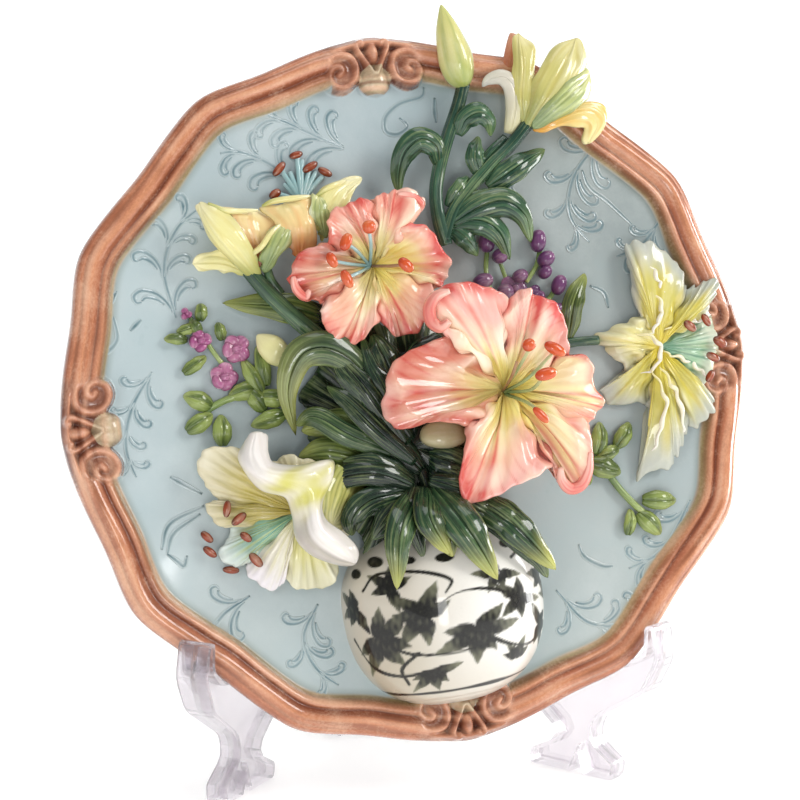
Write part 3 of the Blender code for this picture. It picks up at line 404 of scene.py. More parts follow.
def blob(clay, middle, halfSizes, paint, angle=0.0, rows=16, sides=20, lobes=0, lobe=0.0, seed=1):
    # a ball stretched along its own axis, with lobes round the axis; angle turns it on the plate
    v = np.linspace(0.02, 0.98, rows)[:, None]
    turn = np.linspace(0, 2 * np.pi, sides, endpoint=False)[None, :]
    swell = np.sin(np.pi * v) ** 0.85 * (1 + lobe * np.cos(lobes * turn))
    x = -np.cos(np.pi * v) * halfSizes[0] + 0 * turn
    y = swell * np.cos(turn) * halfSizes[1]
    z = swell * np.sin(turn) * halfSizes[2]
    c, s = math.cos(math.radians(angle)), math.sin(math.radians(angle))
    grid = middle + x[..., None] * np.array([c, s, 0]) + y[..., None] * np.array([-s, c, 0])
    grid = grid + z[..., None] * np.array([0, 0, 1.0])
    clay.skin(grid, paint(*whole(np.cos(turn), v), seed), stacked(np.abs(turn / np.pi - 1), v))


# Shader building: a socket that takes part in sums, and one way to add any other node
class Wire:
    def __init__(self, tree, socket):
        self.tree, self.socket = tree, socket

    def math(self, operation, *others):
        node = self.tree.nodes.new("ShaderNodeMath")
        node.operation = operation
        for i, value in enumerate((self, *others)):
            join(self.tree, value, node.inputs[i])
        return Wire(self.tree, node.outputs[0])

    def __add__(self, other):
        return self.math("ADD", other)

    def __sub__(self, other):
        return self.math("SUBTRACT", other)

    def __rsub__(self, other):
        return (self * -1).math("ADD", other)

    def __mul__(self, other):
        return self.math("MULTIPLY", other)

    __radd__, __rmul__ = __add__, __mul__


def join(tree, value, socket):
    # a wire is linked to the socket, and a plain value is set on it
    if isinstance(value, Wire):
        tree.links.new(value.socket, socket)
    else:
        socket.default_value = value


class Recipe:
    def __init__(self, name):
        self.material = bpy.data.materials.new(name)
        self.material.use_nodes = True
        self.tree = self.material.node_tree

    def node(self, kind, settings, inputs, output=0):
        node = self.tree.nodes.new("ShaderNode" + kind)
        for key, value in settings.items():
            setattr(node, key, value)
        for key, value in inputs.items():
            join(self.tree, value, node.inputs[key])
        return Wire(self.tree, node.outputs[output])

    def noise(self, scale, detail, rough=0.5, where=None):
        # soft noise, on object coordinates unless told otherwise
        where = where or self.node("TexCoord", {}, {}, 3)
        inputs = {"Vector": where, "Scale": scale, "Detail": detail, "Roughness": rough}
        return self.node("TexNoise", {}, inputs)

    def bump(self, height, strength, distance):
        return self.node("Bump", {}, {"Height": height, "Strength": strength, "Distance": distance})

    def mix(self, a, b, share):
        a, b = (value if isinstance(value, Wire) else (*value, 1) for value in (a, b))
        return self.node("Mix", {"data_type": "RGBA"}, {6: a, 7: b, 0: share}, 2)

    def shade(self, sockets):
        shader = self.tree.nodes["Principled BSDF"]
        for key, value in sockets.items():
            join(self.tree, value, shader.inputs[key])
        return self.material


def glaze(name, look):
    # painted glaze: the brushed paint, darker and lighter drifts, fine streaks along the flow of the piece,
    # small specks, a slightly uneven skin, and a clear coat over it all
    r = Recipe(name)
    paint = r.node("Attribute", {"attribute_name": "paint"}, {})
    flow = r.node("UVMap", {"uv_map": "flow"}, {})
    stretch = (look["streakAcross"], look["streakAlong"], 1)
    drift = r.noise(look["drift"], 4.0, 0.6)
    streak = r.noise(1.0, 3.0, 0.65, r.node("Mapping", {}, {"Vector": flow, "Scale": stretch}))
    fine = r.noise(look["fine"], 2.0)
    shade = (drift - 0.5) * look["driftDepth"] + (streak - 0.5) * look["streakDepth"]
    shade = shade + (fine - 0.5) * look["fineDepth"]
    darker = r.mix(paint, look["deep"], (shade * -1).math("MAXIMUM", 0.0))
    colour = r.mix(darker, look["pale"], shade.math("MAXIMUM", 0.0))
    height = r.noise(look["skin"], 3.0) * 0.8 + streak * look["groove"] + fine * 0.08
    return r.shade(
        {"Base Color": colour, "Roughness": drift * 0.16 + look["rough"],
         "Normal": r.bump(height, look["bump"], 0.001), "Coat Weight": look["coat"], "Coat Roughness": 0.05,
         "Specular IOR Level": 0.2, "IOR": 1.5})


print("materials")
plain = {"streakAcross": 9.0, "streakAlong": 1.6, "drift": 45.0, "driftDepth": 0.7, "streakDepth": 0.5,
         "groove": 0.5, "fine": 900.0, "fineDepth": 0.10, "skin": 160.0, "bump": 0.22, "rough": 0.22,
         "coat": 0.9, "deep": rgb(150, 90, 60), "pale": rgb(255, 250, 235)}
smooth = {**plain, "streakDepth": 0.0, "groove": 0.0}
fieldGlaze = glaze("fieldGlaze", {**smooth, "drift": 22.0, "driftDepth": 0.9, "deep": rgb(150, 178, 184),
                                  "pale": rgb(228, 234, 232), "bump": 0.16})
rimGlaze = glaze("rimGlaze", {**plain, "streakAcross": 40.0, "streakAlong": 300.0, "drift": 60.0,
                              "driftDepth": 1.3, "streakDepth": 0.7, "deep": rgb(104, 50, 30),
                              "pale": rgb(246, 208, 176), "bump": 0.3, "rough": 0.17})
petalGlaze = glaze("petalGlaze", {**plain, "streakDepth": 0.55, "deep": rgb(232, 150, 122),
                                  "pale": rgb(255, 246, 215), "bump": 0.45, "skin": 170.0, "rough": 0.16})
ivoryGlaze = glaze("ivoryGlaze", {**plain, "driftDepth": 0.5, "streakDepth": 0.4,
                                  "deep": rgb(205, 200, 140), "pale": rgb(255, 254, 245)})
leafGlaze = glaze("leafGlaze", {**plain, "streakAcross": 16.0, "streakDepth": 1.5, "driftDepth": 0.9,
                                "groove": 1.2, "deep": rgb(22, 42, 34), "pale": rgb(190, 205, 140),
                                "bump": 0.4, "rough": 0.14})
smallGlaze = glaze("smallGlaze", {**plain, "driftDepth": 0.9, "streakDepth": 0.6, "deep": rgb(70, 30, 40),
                                  "pale": rgb(235, 200, 190)})
antherGlaze = glaze("antherGlaze", {**plain, "driftDepth": 0.3, "streakDepth": 0.4, "deep": rgb(60, 18, 8),
                                    "pale": rgb(255, 214, 170), "rough": 0.14})
vaseGlaze = glaze("vaseGlaze", {**smooth, "driftDepth": 0.15, "bump": 0.1, "deep": rgb(150, 140, 120),
                                "pale": rgb(150, 148, 140), "coat": 0.6})


# The dish, in millimetres; reaches are shares of the radius. Columns lie between two angles in a quarter,
# rings between two distances in from the edge
dish = {"radius": 150.0, "rimWide": 16.6, "rimLow": -7.7, "sharpness": 75, "hollow": 0.0058,
        "ornamentReach": 1.013, "besideReach": 0.991, "cornerReach": 0.985,
        "columns": ((-10.2, 10.2, 105), (10.2, 79.8, 63)),
        "rings": ((126, 32, 7), (29, 18.5, 24), (18.2, 0.3, 68)),
        # field colours: the lit one, a painted shade, a warm tone, a deeper painted shadow and the edge tint
        "fieldLight": rgb(184, 199, 202), "fieldShade": rgb(150, 164, 168), "fieldWarm": rgb(192, 201, 197),
        "fieldPaintedShadow": rgb(112, 122, 122), "fieldEdge": rgb(120, 132, 120), "wornLight": rgb(230, 180, 148),
        "wornDark": rgb(112, 56, 34), "side": rgb(150, 88, 58), "bareLight": rgb(205, 203, 192),
        "bareDark": rgb(186, 184, 172)}
# half section of the rim: distance in from the edge, height; first over the top, then down the outside
rimTop = [(30.0, 0.0), (18.0, 0.0), (16.9, 0.2), (15.9, 1.3), (14.9, 3.2), (13.6, 4.6), (12.4, 5.0),
          (11.3, 4.4), (10.7, 3.7), (10.1, 4.3), (9.0, 5.9), (7.4, 6.8), (5.8, 7.0), (4.4, 6.5), (3.5, 5.7),
          (2.9, 5.4), (2.1, 5.2), (1.0, 4.1), (0.3, 2.4)]
rimSide = [(0.0, 0.6), (0.0, -2.2), (0.05, -4.6), (0.5, -6.3), (1.4, -7.4), (2.8, -7.8)]
backSection = [
    (12, -7.6), (24, -7.0), (40, -7.0), (55, -7.0), (60.2, -7.0), (61.0, -9.0), (61.4, -12.2),
    (62.6, -13.0), (64.0, -13.0), (65.1, -12.2), (65.6, -9.0), (66.6, -7.0), (90, -7.0), (115, -7.0),
    (138, -7.0)]
# glaze of the rim: distance in from the edge, colour; the bands follow the section, darkest in the groove
# and on the outer slope and lightest on the tops of the rolls, so they hold painted shade and light as well
# as the glaze's own bands
rimColours = [
    (0.0, (159, 95, 64)), (1.2, (177, 106, 73)), (2.6, (187, 115, 79)), (3.4, (161, 98, 66)),
    (4.6, (189, 118, 83)), (6.2, (204, 136, 97)), (8.2, (192, 121, 85)), (9.6, (176, 104, 73)),
    (10.7, (106, 51, 34)), (11.6, (178, 110, 77)), (12.8, (198, 133, 96)), (14.0, (180, 121, 85)),
    (15.0, (157, 121, 82)), (16.0, (161, 143, 97)), (17.0, (183, 165, 134)), (18.2, (192, 172, 149))]
# carved ornament, in millimetres along the rim and in from its edge
ornament = {"turn": -0.9, "middle": 139.0, "reach": 25.0, "plateau": 2.7,
            "shell": (0.0, 18.6, 7.4, 6.4, 5.0), "bud": (0.0, 7.6, 2.9, 5.2, 8.6),
            "wing": (8.0, 16.6, 2.2, 2.4, 4.8), "volute": (15.6, 12.4, 8.6, 4.3), "curlWidth": 2.1,
            "curlTop": 6.9, "ribWidth": 1.45, "ribTop": 7.9,
            "curl": [(27, 7.6), (21, 6.6), (15.5, 5.0), (10.2, 6.8), (7.9, 11.8), (9.6, 17.2), (14.6, 19.4),
                     (19.2, 17.4), (20.6, 13.4), (18.6, 10.2), (15.4, 10.0), (14.2, 12.2), (15.8, 13.4)],
            "rib": [(0.6, 16.4), (2.8, 12.4), (5.0, 8.2), (6.4, 4.6), (6.0, 2.6), (4.4, 2.4), (3.8, 3.8)],
            "dark": rgb(92, 46, 34), "light": rgb(206, 146, 116), "shellDark": rgb(150, 134, 104),
            "shellLight": rgb(204, 184, 152)}


def outlineShare(angle):
    # a soft twelve-sided form: the power mean of the distances to its twelve straight stretches, with
    # shallow hollows between the ornaments
    stretches = ((0, "ornamentReach"), (15, "besideReach"), (45, "cornerReach"), (75, "besideReach"))
    total = 0
    for k in range(4):
        base = k * math.pi / 2
        for offset, reach in stretches:
            lean = np.maximum(np.cos(angle - base - math.radians(offset)), 0)
            total = total + (lean / dish[reach]) ** dish["sharpness"]
    share = total ** (-1 / dish["sharpness"]) + dish["hollow"] * 0.45
    quarter = np.degrees(angle) % 90
    for middle in (18.7, 45.0, 71.3):
        share = share - dish["hollow"] * hump(quarter, middle, 5.5)
    return share


def fieldPaint(p, q):
    # grey blue in soft clouds; painted shade makes it darker and greyer towards the right and the middle,
    # with a deeper painted shadow on the right and a painted light patch near the top; clearest low on the
    # left;
    # each patch is a round bell about its place
    def patch(x, y, width):
        return np.exp(-((p - x) ** 2 + (q - y) ** 2) / width**2)
    share = step(-120, 110, p + 0.1 * q) + 0.28 * ripple(p / 22, q / 22, 5)
    colour = blend(dish["fieldLight"], dish["fieldShade"], share)
    colour = blend(colour, dish["fieldWarm"], 0.35 + 0.5 * ripple(p / 40, q / 40, 9))
    # a painted shadow on the right, a painted light patch near the top, painted shade over the middle
    colour = blend(colour, dish["fieldPaintedShadow"], 0.55 * patch(92, 66, 42))
    colour = blend(colour, dish["fieldLight"], 0.6 * patch(10, 124, 26))
    return blend(colour, dish["fieldShade"], 0.5 * patch(-10, -10, 70))


def distanceTo(a, b, points, count=44):
    # least distance from every place (a, b) to a smooth line through the points
    line = curveThrough([(x, y, 0.0) for x, y in points], count)[:, :2]
    best = np.full(np.shape(a), 1e9)
    for start, end in zip(line, line[1:]):
        way = end - start
        share = np.clip(((a - start[0]) * way[0] + (b - start[1]) * way[1]) / max(way @ way, 1e-9), 0, 1)
        best = np.minimum(best, np.hypot(a - start[0] - share * way[0], b - start[1] - share * way[1]))
    return best


def dome(a, b, shape):
    # height of a stretched half ball: middle, half sizes and top
    inside = 1 - ((a - shape[0]) / shape[2]) ** 2 - ((b - shape[1]) / shape[3]) ** 2
    return shape[4] * np.clip(inside, 0, 1) ** 0.5


def carve(a, b, plain):
    # height of the rim with its ornament: the greatest of a low ground, a shell, a bud between two hooked
    # ribs, and two curls that the middle band winds into
    side = np.abs(a)
    o = ornament
    ground = o["plateau"] * step(18.6, 16.0, b) * step(1.2, 4.0, b) + plain * step(4.6, 2.6, b)
    x, y, reach, top = o["volute"]
    disc = top * np.clip(1 - (np.hypot(side - x, b - y) / reach) ** 4, 0, 1) ** 0.5
    keep = step(15.5, 19.5, side - 0.30 * (b - 8))
    shape = np.maximum(ground * (1 - keep) + plain * keep, disc * step(0.5, 3.0, b))
    for part in ("shell", "bud", "wing"):
        high = dome(side, b, o[part])
        if part == "shell":
            high = high - 0.8 * hump(a, 0, 0.9) * step(22, 15, b) * (high > 0)
        shape = np.maximum(shape, high)
    for part in ("curl", "rib"):
        near = distanceTo(side, b, o[part]) / o[part + "Width"]
        shape = np.maximum(shape, (o[part + "Top"] * np.clip(1 - near**2, 0, 1) ** 0.5) * (near < 1))
    return shape


def soften(grid):
    # each place takes half of its height from its neighbours, round the rim and then across it
    grid = (np.roll(grid, 1, 1) + np.roll(grid, -1, 1) + 2 * grid) / 4
    return np.vstack([grid[:1], (grid[:-2] + grid[2:] + 2 * grid[1:-1]) / 4, grid[-1:]])


def rimPaintAt(angle, along, inward, moved, high, pale):
    # bands across the rim; on the ornament brown in the hollows as painted shade and pale on the heights as
    # painted highlight; worn patches; and a slight paling all over as a painted sheen
    stops = np.array([c[0] for c in rimColours])
    # a slight paling all over: a painted sheen of the glaze
    colours = blend(np.array([rgb(*c[1]) for c in rimColours]), rgb(220, 188, 168), 0.06)
    drift = moved + 0.45 * ripple(angle * 10, inward * 0.2, 8)
    band = np.stack([np.interp(drift, stops, colours[:, k]) for k in range(3)], -1)
    zone = step(ornament["reach"] - 2, ornament["reach"] - 7, np.abs(along)) * step(24.5, 23.5, inward)
    # on the ornament darker low and paler high: painted shade in the hollows, painted highlight on the
    # heights
    rise = step(2.2, 7.4, high + 0.4 * ripple(along / 2, inward / 2, 6))
    tall = blend(ornament["dark"], ornament["light"], rise)
    tall = blend(tall, blend(ornament["shellDark"], ornament["shellLight"], step(0.5, 4.5, high)), pale)
    band = blend(band, tall, zone)
    worn = ripple(angle * 9, inward * 1.7, 11) + 0.8 * ripple(angle * 4, inward * 0.7, 12)
    band = blend(band, dish["wornLight"], np.clip(worn - 0.15, 0, 1) * 0.55)
    band = blend(band, dish["wornDark"], np.clip(-worn - 0.15, 0, 1) * 0.60)
    return band, zone


def makeDish():
    # rings round the plate, each a share of the twelve-sided outline, at the heights of the rim's section;
    # the columns are close together at the four ornaments
    clay = Clay("dish")
    near, far = (np.linspace(*span)[:-1] for span in dish["columns"])
    quarters = np.concatenate([np.concatenate([near, far]) + 90 * k for k in range(4)])
    angle = np.radians(quarters + ornament["turn"])[None, :]
    x, y = np.cos(angle), np.sin(angle)
    inward = np.concatenate([np.linspace(*span) for span in dish["rings"]])[:, None]
    shift = 0.55 * ripple(x * 11, y * 11, 31) + 0.25 * ripple(x * 40, y * 40, 32)
    moved = inward + shift * step(1.0, 5.0, inward) * step(17.5, 13.0, inward)
    table = curveThrough([(d, h, 0) for d, h in rimTop], 400)
    order = np.argsort(table[:, 0])
    worn = 0.30 * ripple(angle * 13, moved * 0.5, 4) * step(17.5, 13, inward) * step(0.3, 2.0, inward)
    plain = np.interp(moved, table[order, 0], table[order, 1]) + worn
    turn = np.degrees(angle - math.radians(ornament["turn"]))
    along, inward = whole(np.radians((turn + 45) % 90 - 45) * ornament["middle"], inward)
    high = np.where(np.abs(along) < ornament["reach"] + 3, carve(along, inward, plain), plain)
    high = soften(soften(high))
    radius = dish["radius"] - inward
    bulge = 1 + 0.004 * np.cos(np.clip(along / 12, -1, 1) * math.pi / 2) ** 2 * step(20, 5, inward)
    reach = (radius + dish["radius"] * (outlineShare(angle) - 1) * step(96, 130, radius)) * bulge
    top = np.stack([reach * x, reach * y, high], -1)
    side = curveThrough([(d, h, 0) for d, h in (rimTop[-1], *rimSide)], 16)[1:, :2]
    d, h = np.hsplit(np.vstack([side, np.array(backSection)]), 2)
    r = dish["radius"] - d
    out = r + dish["radius"] * (outlineShare(angle) - 1) * step(96, 130, r)
    under = np.stack([out * x, out * y, h + 0 * angle], -1)
    pale = step(0.2, 1.0, dome(along, inward, ornament["shell"]))
    band, zone = rimPaintAt(angle, along, inward, moved, high, pale)
    field = fieldPaint(top[..., 0], top[..., 1])
    field = blend(field, dish["fieldEdge"], 0.35 * step(20.5, 17.0, inward) * (1 - pale))
    colour = blend(band, field, np.where(zone > 0.5, step(0.9, 0.2, high), step(16.0, 17.8, inward)))
    burnt = 0.9 + 0.2 * ripple(angle * 30, d * 0.5, 13)
    edge = np.broadcast_to(dish["side"], under.shape) * burnt[..., None]
    cloud = 0.5 + 0.5 * ripple(under[..., 0] / 30, under[..., 1] / 30, 2)
    bare = blend(dish["bareLight"], dish["bareDark"], cloud)
    colour = np.vstack([colour, blend(edge, bare, step(2.0, 4.0, d + 0 * angle))])
    flow = stacked(np.abs(angle / np.pi - 1), np.vstack([inward[:, :1], d]) / 30)[..., ::-1]
    clay.skin(np.vstack([top, under]), colour, flow)
    return clay


dishPiece = makeDish().finish(fieldGlaze)
# the rim's own glaze on its faces, by distance from the edge and by height
dishPiece.data.materials.append(rimGlaze)
centres = np.zeros(len(dishPiece.data.polygons) * 3)
dishPiece.data.polygons.foreach_get("center", centres)
local = (centres.reshape(-1, 3) - plateCentre) @ plateAxes * 1000
right, up, high = local.T
away = dish["radius"] * outlineShare(np.arctan2(up, right)) - np.hypot(right, up)
rimFaces = ((away < dish["rimWide"]) | (high > 0.5)) & (high > dish["rimLow"])
dishPiece.data.polygons.foreach_set("material_index", rimFaces.astype(np.int32))
print("dish and rim")


# Paint for petals and leaves: formulas in s, across from -1 to 1, and t, along from root to tip
def patchy(base, size, value):
    # a share that varies about its base, kept between 0 and 1
    return np.clip(base + size * value, 0, 1)


def pinkPaint(heart, cream, blush, edge, reach):
    # yellow heart, cream petal, pink washed over it in soft patches that gather outwards, peach where they
    # meet, coral strokes along the middle, the rim, the tip and in thin streaks, and pale patches here and
    # there as painted highlights
    def paint(s, t, seed):
        side = np.abs(s)
        colour = blend(heart, cream, step(0.18, 0.68, t + 0.14 * ripple(s * 3, t * 3, seed)))
        patch = ripple(s * 2.2 + 0.4 * t, t * 4.0, seed + 1) + 0.7 * ripple(s * 6, t * 8, seed + 4)
        share = step(reach - 0.26, reach + 0.30, t + 0.20 * side**2 + 0.24 * patch)
        colour = blend(colour, (cream + edge) / 2, hump(share, 0.35, 0.22) * 0.45)
        colour = blend(colour, blush, share)
        lines = hump(side, 0.10, 0.040) * step(0.15, 0.45, t) * patchy(1.0, 0.6, ripple(s, t * 9, seed + 5))
        feather = np.cos(2 * np.pi * (t * 4.5 - side * 8 + 0.9 * ripple(s * 2, t * 2, seed + 20)))
        feather = np.clip(feather, 0, 1) ** 5 * step(0.2, 0.45, t) * step(1.0, 0.3, side)
        feather = feather * patchy(0.35, 1.2, ripple(s * 2, t * 3, seed + 21))
        streak = creased(s * 8 + 1.2 * ripple(s * 2, t * 4, seed), t * 2.2, seed + 6) * step(0.25, 0.7, t)
        streak = streak * step(-0.1, 0.5, ripple(s * 3, t * 3, seed + 16))
        rim = step(0.80, 1.0, side) * step(0.35, 0.8, t) * patchy(0.5, 1.1, ripple(s * 2, t * 7, seed + 2))
        tip = step(0.84, 1.0, t) * patchy(0.45, 1.0, ripple(s * 4, t * 5, seed + 8))
        coral = rim * 0.85 + lines * 0.85 + (streak + 0.7 * feather) * share * 0.7 + tip * 0.85
        colour = blend(colour, edge, np.clip(coral, 0, 0.92))
        # pale, nearly white patches here and there away from the rim: painted highlights
        glow = patchy(-0.35, 1, ripple(s * 4, t * 6, seed + 9)) * step(0.2, 0.5, t) * (1 - rim)
        return blend(colour, (cream + 1) / 2, np.clip(glow * 1.6, 0, 0.9))
    return paint


bigPaint = pinkPaint(rgb(240, 226, 132), rgb(250, 238, 196), rgb(244, 184, 172), rgb(208, 66, 64), 0.64)
# a shaded copy of the pink paint for the petal that faces left and down: painted shade
shadedPetalPaint = pinkPaint(rgb(236, 226, 150), rgb(226, 194, 152), rgb(206, 130, 110), rgb(186, 58, 52), 0.48)
lightPaint = pinkPaint(rgb(242, 226, 118), rgb(250, 236, 180), rgb(242, 178, 160), rgb(208, 66, 64), 0.82)
secondPaint = pinkPaint(rgb(232, 218, 140), rgb(248, 234, 190), rgb(242, 172, 152), rgb(204, 68, 62), 0.66)


def wash(root, body, tip, mark=None, markShare=0.0, lines=6):
    # three colours from root to tip with brushed lines of a fourth
    def paint(s, t, seed):
        colour = blend(root, body, step(0.0, 0.5, t + 0.1 * ripple(s * 3, t * 3, seed)))
        colour = blend(colour, tip, step(0.55, 1.0, t + 0.1 * ripple(s * 3, t * 4, seed + 2)))
        if mark is not None:
            stroke = 0.5 + 0.5 * np.cos(2 * np.pi * (s * lines / 2 + 0.3 * ripple(s * 2, t * 4, seed + 1)))
            colour = blend(colour, mark, markShare * step(0.6, 1.0, stroke) * (1 - step(0.7, 1.0, t)))
        return colour
    return paint


def leafPaint(deep, mid, tip, tipFrom):
    # nine brushed lines of the middle colour on the deep one, the colour of the tip beyond its start and on
    # the edge
    def paint(s, t, seed):
        stroke = 0.5 + 0.5 * np.cos(2 * np.pi * (s * 9 / 2 + 0.25 * ripple(s * 2, t * 3, seed)))
        share = 0.15 + 0.6 * step(0.45, 1.0, stroke) + 0.3 * ripple(s * 3, t * 4, seed + 1)
        edge = step(0.82, 1.0, np.abs(s)) * 0.6
        end = step(tipFrom, 1.05, t + 0.12 * ripple(s * 4, t * 3, seed + 2))
        return blend(blend(deep, mid, share), tip, np.clip(end + edge * 0.5, 0, 1) * 0.85)
    return paint


darkLeaf = leafPaint(rgb(12, 26, 20), rgb(44, 70, 46), rgb(92, 116, 62), 0.78)
midLeaf = leafPaint(rgb(22, 44, 30), rgb(74, 102, 58), rgb(150, 162, 84), 0.6)
oliveLeaf = leafPaint(rgb(50, 70, 32), rgb(122, 136, 66), rgb(178, 184, 100), 0.55)
droopLeaf = leafPaint(rgb(22, 42, 30), rgb(92, 116, 70), rgb(164, 166, 92), 0.35)
topLeaf = leafPaint(rgb(22, 58, 44), rgb(78, 118, 84), rgb(126, 152, 98), 0.65)
paleTip = leafPaint(rgb(18, 40, 28), rgb(66, 100, 62), rgb(214, 212, 108), 0.62)
stemPaint = wash(rgb(44, 74, 54), rgb(84, 116, 80), rgb(60, 90, 62), rgb(30, 56, 42), 0.7, 5)
tealStem = wash(rgb(30, 62, 50), rgb(56, 94, 70), rgb(44, 78, 60), rgb(18, 44, 34), 0.7, 5)

# the groove colour of petals and leaves is painted shade, their ridge colour a painted highlight
petalLook = {
    "rib": 1.0, "veins": 11, "vein": 0.22, "ruffle": 1.4, "ruffles": 2.4, "scallop": 1.0, "folds": 6,
    "fold": 1.6, "crumple": 2.2, "uneven": 0.8, "thick": 2.8, "root": 0.5,
    "grooveShade": (rgb(214, 104, 84), 0.22), "ridgeHighlight": rgb(255, 244, 214), "ridgeHighlightShare": 0.35}
leafLook = {"rib": 0.6, "veins": 11, "vein": 0.40, "ruffle": 0.4, "crumple": 0.4, "uneven": 0.5,
            "thick": 2.2, "grooveShade": (rgb(8, 18, 14), 0.80), "ridgeHighlight": rgb(132, 150, 90), "ridgeHighlightShare": 0.30}
# Whole flowers: the heart, then the outline as (column, row, height), "t" at a tip and "n" between petals
bigLily = {"heart": (502, 389, 11),
           "outline": [(508, 304, 36, "n"), (514, 296, 38), (524, 291, 39), (535, 293, 38, "t"),
                       (549, 302, 38), (561, 313, 37), (566, 328, 37), (568, 342, 36), (566, 352, 33, "n"),
                       (576, 351, 36), (587, 357, 37), (593, 371, 36), (595, 388, 34), (602, 404, 33, "t"),
                       (598, 413, 33), (591, 420, 34), (585, 425, 32, "n"), (590, 437, 36), (592, 452, 36),
                       (590, 467, 34), (583, 482, 30, "t"), (573, 489, 27), (563, 484, 29), (560, 475, 32),
                       (557, 465, 33, "n"), (547, 469, 38), (530, 477, 38), (510, 488, 36), (491, 497, 33),
                       (472, 501, 31, "t"), (464, 494, 32), (463, 478, 36), (464, 460, 38), (466, 444, 38),
                       (469, 431, 36), (470, 420, 33, "n"), (461, 421, 36), (444, 421, 38), (424, 423, 37),
                       (404, 429, 34), (391, 421, 33), (385, 404, 34, "t"), (388, 383, 36), (398, 362, 37),
                       (413, 350, 37), (434, 342, 37), (451, 341, 35, "n"), (446, 331, 39), (440, 322, 37),
                       (431, 314, 35), (431, 301, 38), (445, 288, 41, "t"), (467, 282, 42), (489, 289, 41),
                       (502, 298, 38)]}
secondLily = {
    "heart": (372, 267, 9),
    "outline": [(373, 203, 25, "n"), (378, 198, 27), (387, 193, 28), (398, 191, 28, "t"), (411, 193, 27),
                (420, 199, 25), (422, 209, 23), (414, 206, 26), (411, 216, 27), (404, 226, 27),
                (396, 228, 25, "n"), (402, 224, 27), (414, 223, 28), (426, 230, 28), (438, 243, 27),
                (446, 258, 25), (448, 274, 23, "t"), (441, 285, 24), (431, 288, 24, "n"), (429, 299, 27),
                (425, 314, 26), (419, 330, 23), (403, 334, 22, "t"), (391, 330, 24), (383, 318, 24, "n"),
                (375, 323, 27), (367, 334, 25), (356, 342, 23), (343, 345, 21, "t"), (333, 336, 23),
                (326, 323, 26), (323, 309, 27), (324, 299, 24, "n"), (315, 297, 24), (306, 298, 21),
                (297, 292, 22), (292, 280, 25, "t"), (294, 266, 28), (303, 253, 28), (314, 247, 28),
                (326, 247, 25, "n"), (332, 238, 27), (330, 224, 27), (334, 213, 27), (343, 205, 26, "t"),
                (356, 202, 27), (366, 201, 27)]}


def makeLily(name, flower, paint, look, curls):
    # the flower and the rolled lips at the tips of two petals: path and half width
    clay = Clay(name)
    bloom(clay, flower["heart"], flower["outline"], paint, look)
    for k, (path, radius) in enumerate(curls):
        tube(clay, seen(path), lambda t, radius=radius: radius * taper(t, 0.08, 0.86), rolled, rows=36,
             sides=20, ridge=0.08, ridges=3, seed=k + 2)
    clay.finish(petalGlaze)


rolled = wash(rgb(244, 184, 168), rgb(226, 124, 112), rgb(244, 190, 174), rgb(200, 66, 62), 0.5, 3)
# the fifth petal of each lily takes the shaded copy of the pink paint, a painted shade
makeLily("bigLily", bigLily, [bigPaint, lightPaint, lightPaint, bigPaint, shadedPetalPaint, bigPaint],
         {**petalLook, "seed": 5, "belly": 4.5, "crease": 5.0, "lap": 1.8, "lip": 2.2},
         [([(449, 321, 41), (441, 327, 38), (432, 321, 36), (430, 308, 38), (437, 296, 41), (450, 291, 43)],
           2.9),
          ([(590, 452, 37), (588, 470, 34), (581, 484, 30), (570, 488, 29), (562, 480, 32), (561, 468, 35)],
           2.7)])
makeLily("secondLily", secondLily,
         [secondPaint, lightPaint, lightPaint, secondPaint, shadedPetalPaint, secondPaint],
         {**petalLook, "seed": 31, "belly": 3.5, "crease": 4.0, "lap": 1.4, "lip": 1.8, "rib": 0.9,
          "ruffle": 1.0, "fold": 1.1, "crumple": 1.0},
         [([(398, 194, 29), (412, 196, 28), (421, 203, 26), (421, 211, 24)], 1.8),
          ([(293, 276, 26), (296, 289, 24), (305, 297, 22), (310, 290, 24)], 2.0)])

# White lily
# olive yellow at the root, deepened there as painted shade in the throat, ivory towards the tips
ivoryPaint = wash(rgb(158, 138, 40), rgb(186, 170, 86), rgb(216, 207, 174), rgb(160, 146, 60), 0.6, 5)
creamPaint = wash(rgb(232, 222, 160), rgb(234, 228, 206), rgb(232, 228, 218))


def rimPaint(s, t, seed):
    # the lily's thick rim: lilac white, yellow green brushed over its broad middle, and grey as painted shade
    # under its low end and faintly on one side near its root
    broad = step(0.26, 0.40, t + 0.05 * ripple(s * 4, t * 4, seed))
    broad = broad * step(0.72, 0.60, t + 0.06 * ripple(s * 5, t * 3, seed + 1))
    broad = broad * patchy(0.7, 0.5, ripple(s * 3, t * 60, seed + 2))
    broad = broad * step(1.15, 0.1, s + 0.3 * ripple(s * 2, t * 8, seed + 5))
    colour = blend(rgb(238, 232, 226), rgb(208, 202, 104), broad)
    # painted shade: grey under the low end of the rim
    low = step(0.60, 0.70, t) * step(0.05, 0.35, s + 0.10 * ripple(s, t * 6, seed + 4))
    return blend(colour, rgb(188, 180, 172), low * 0.85 + 0.3 * step(0.3, 0.0, t) * step(0.0, 0.7, s))


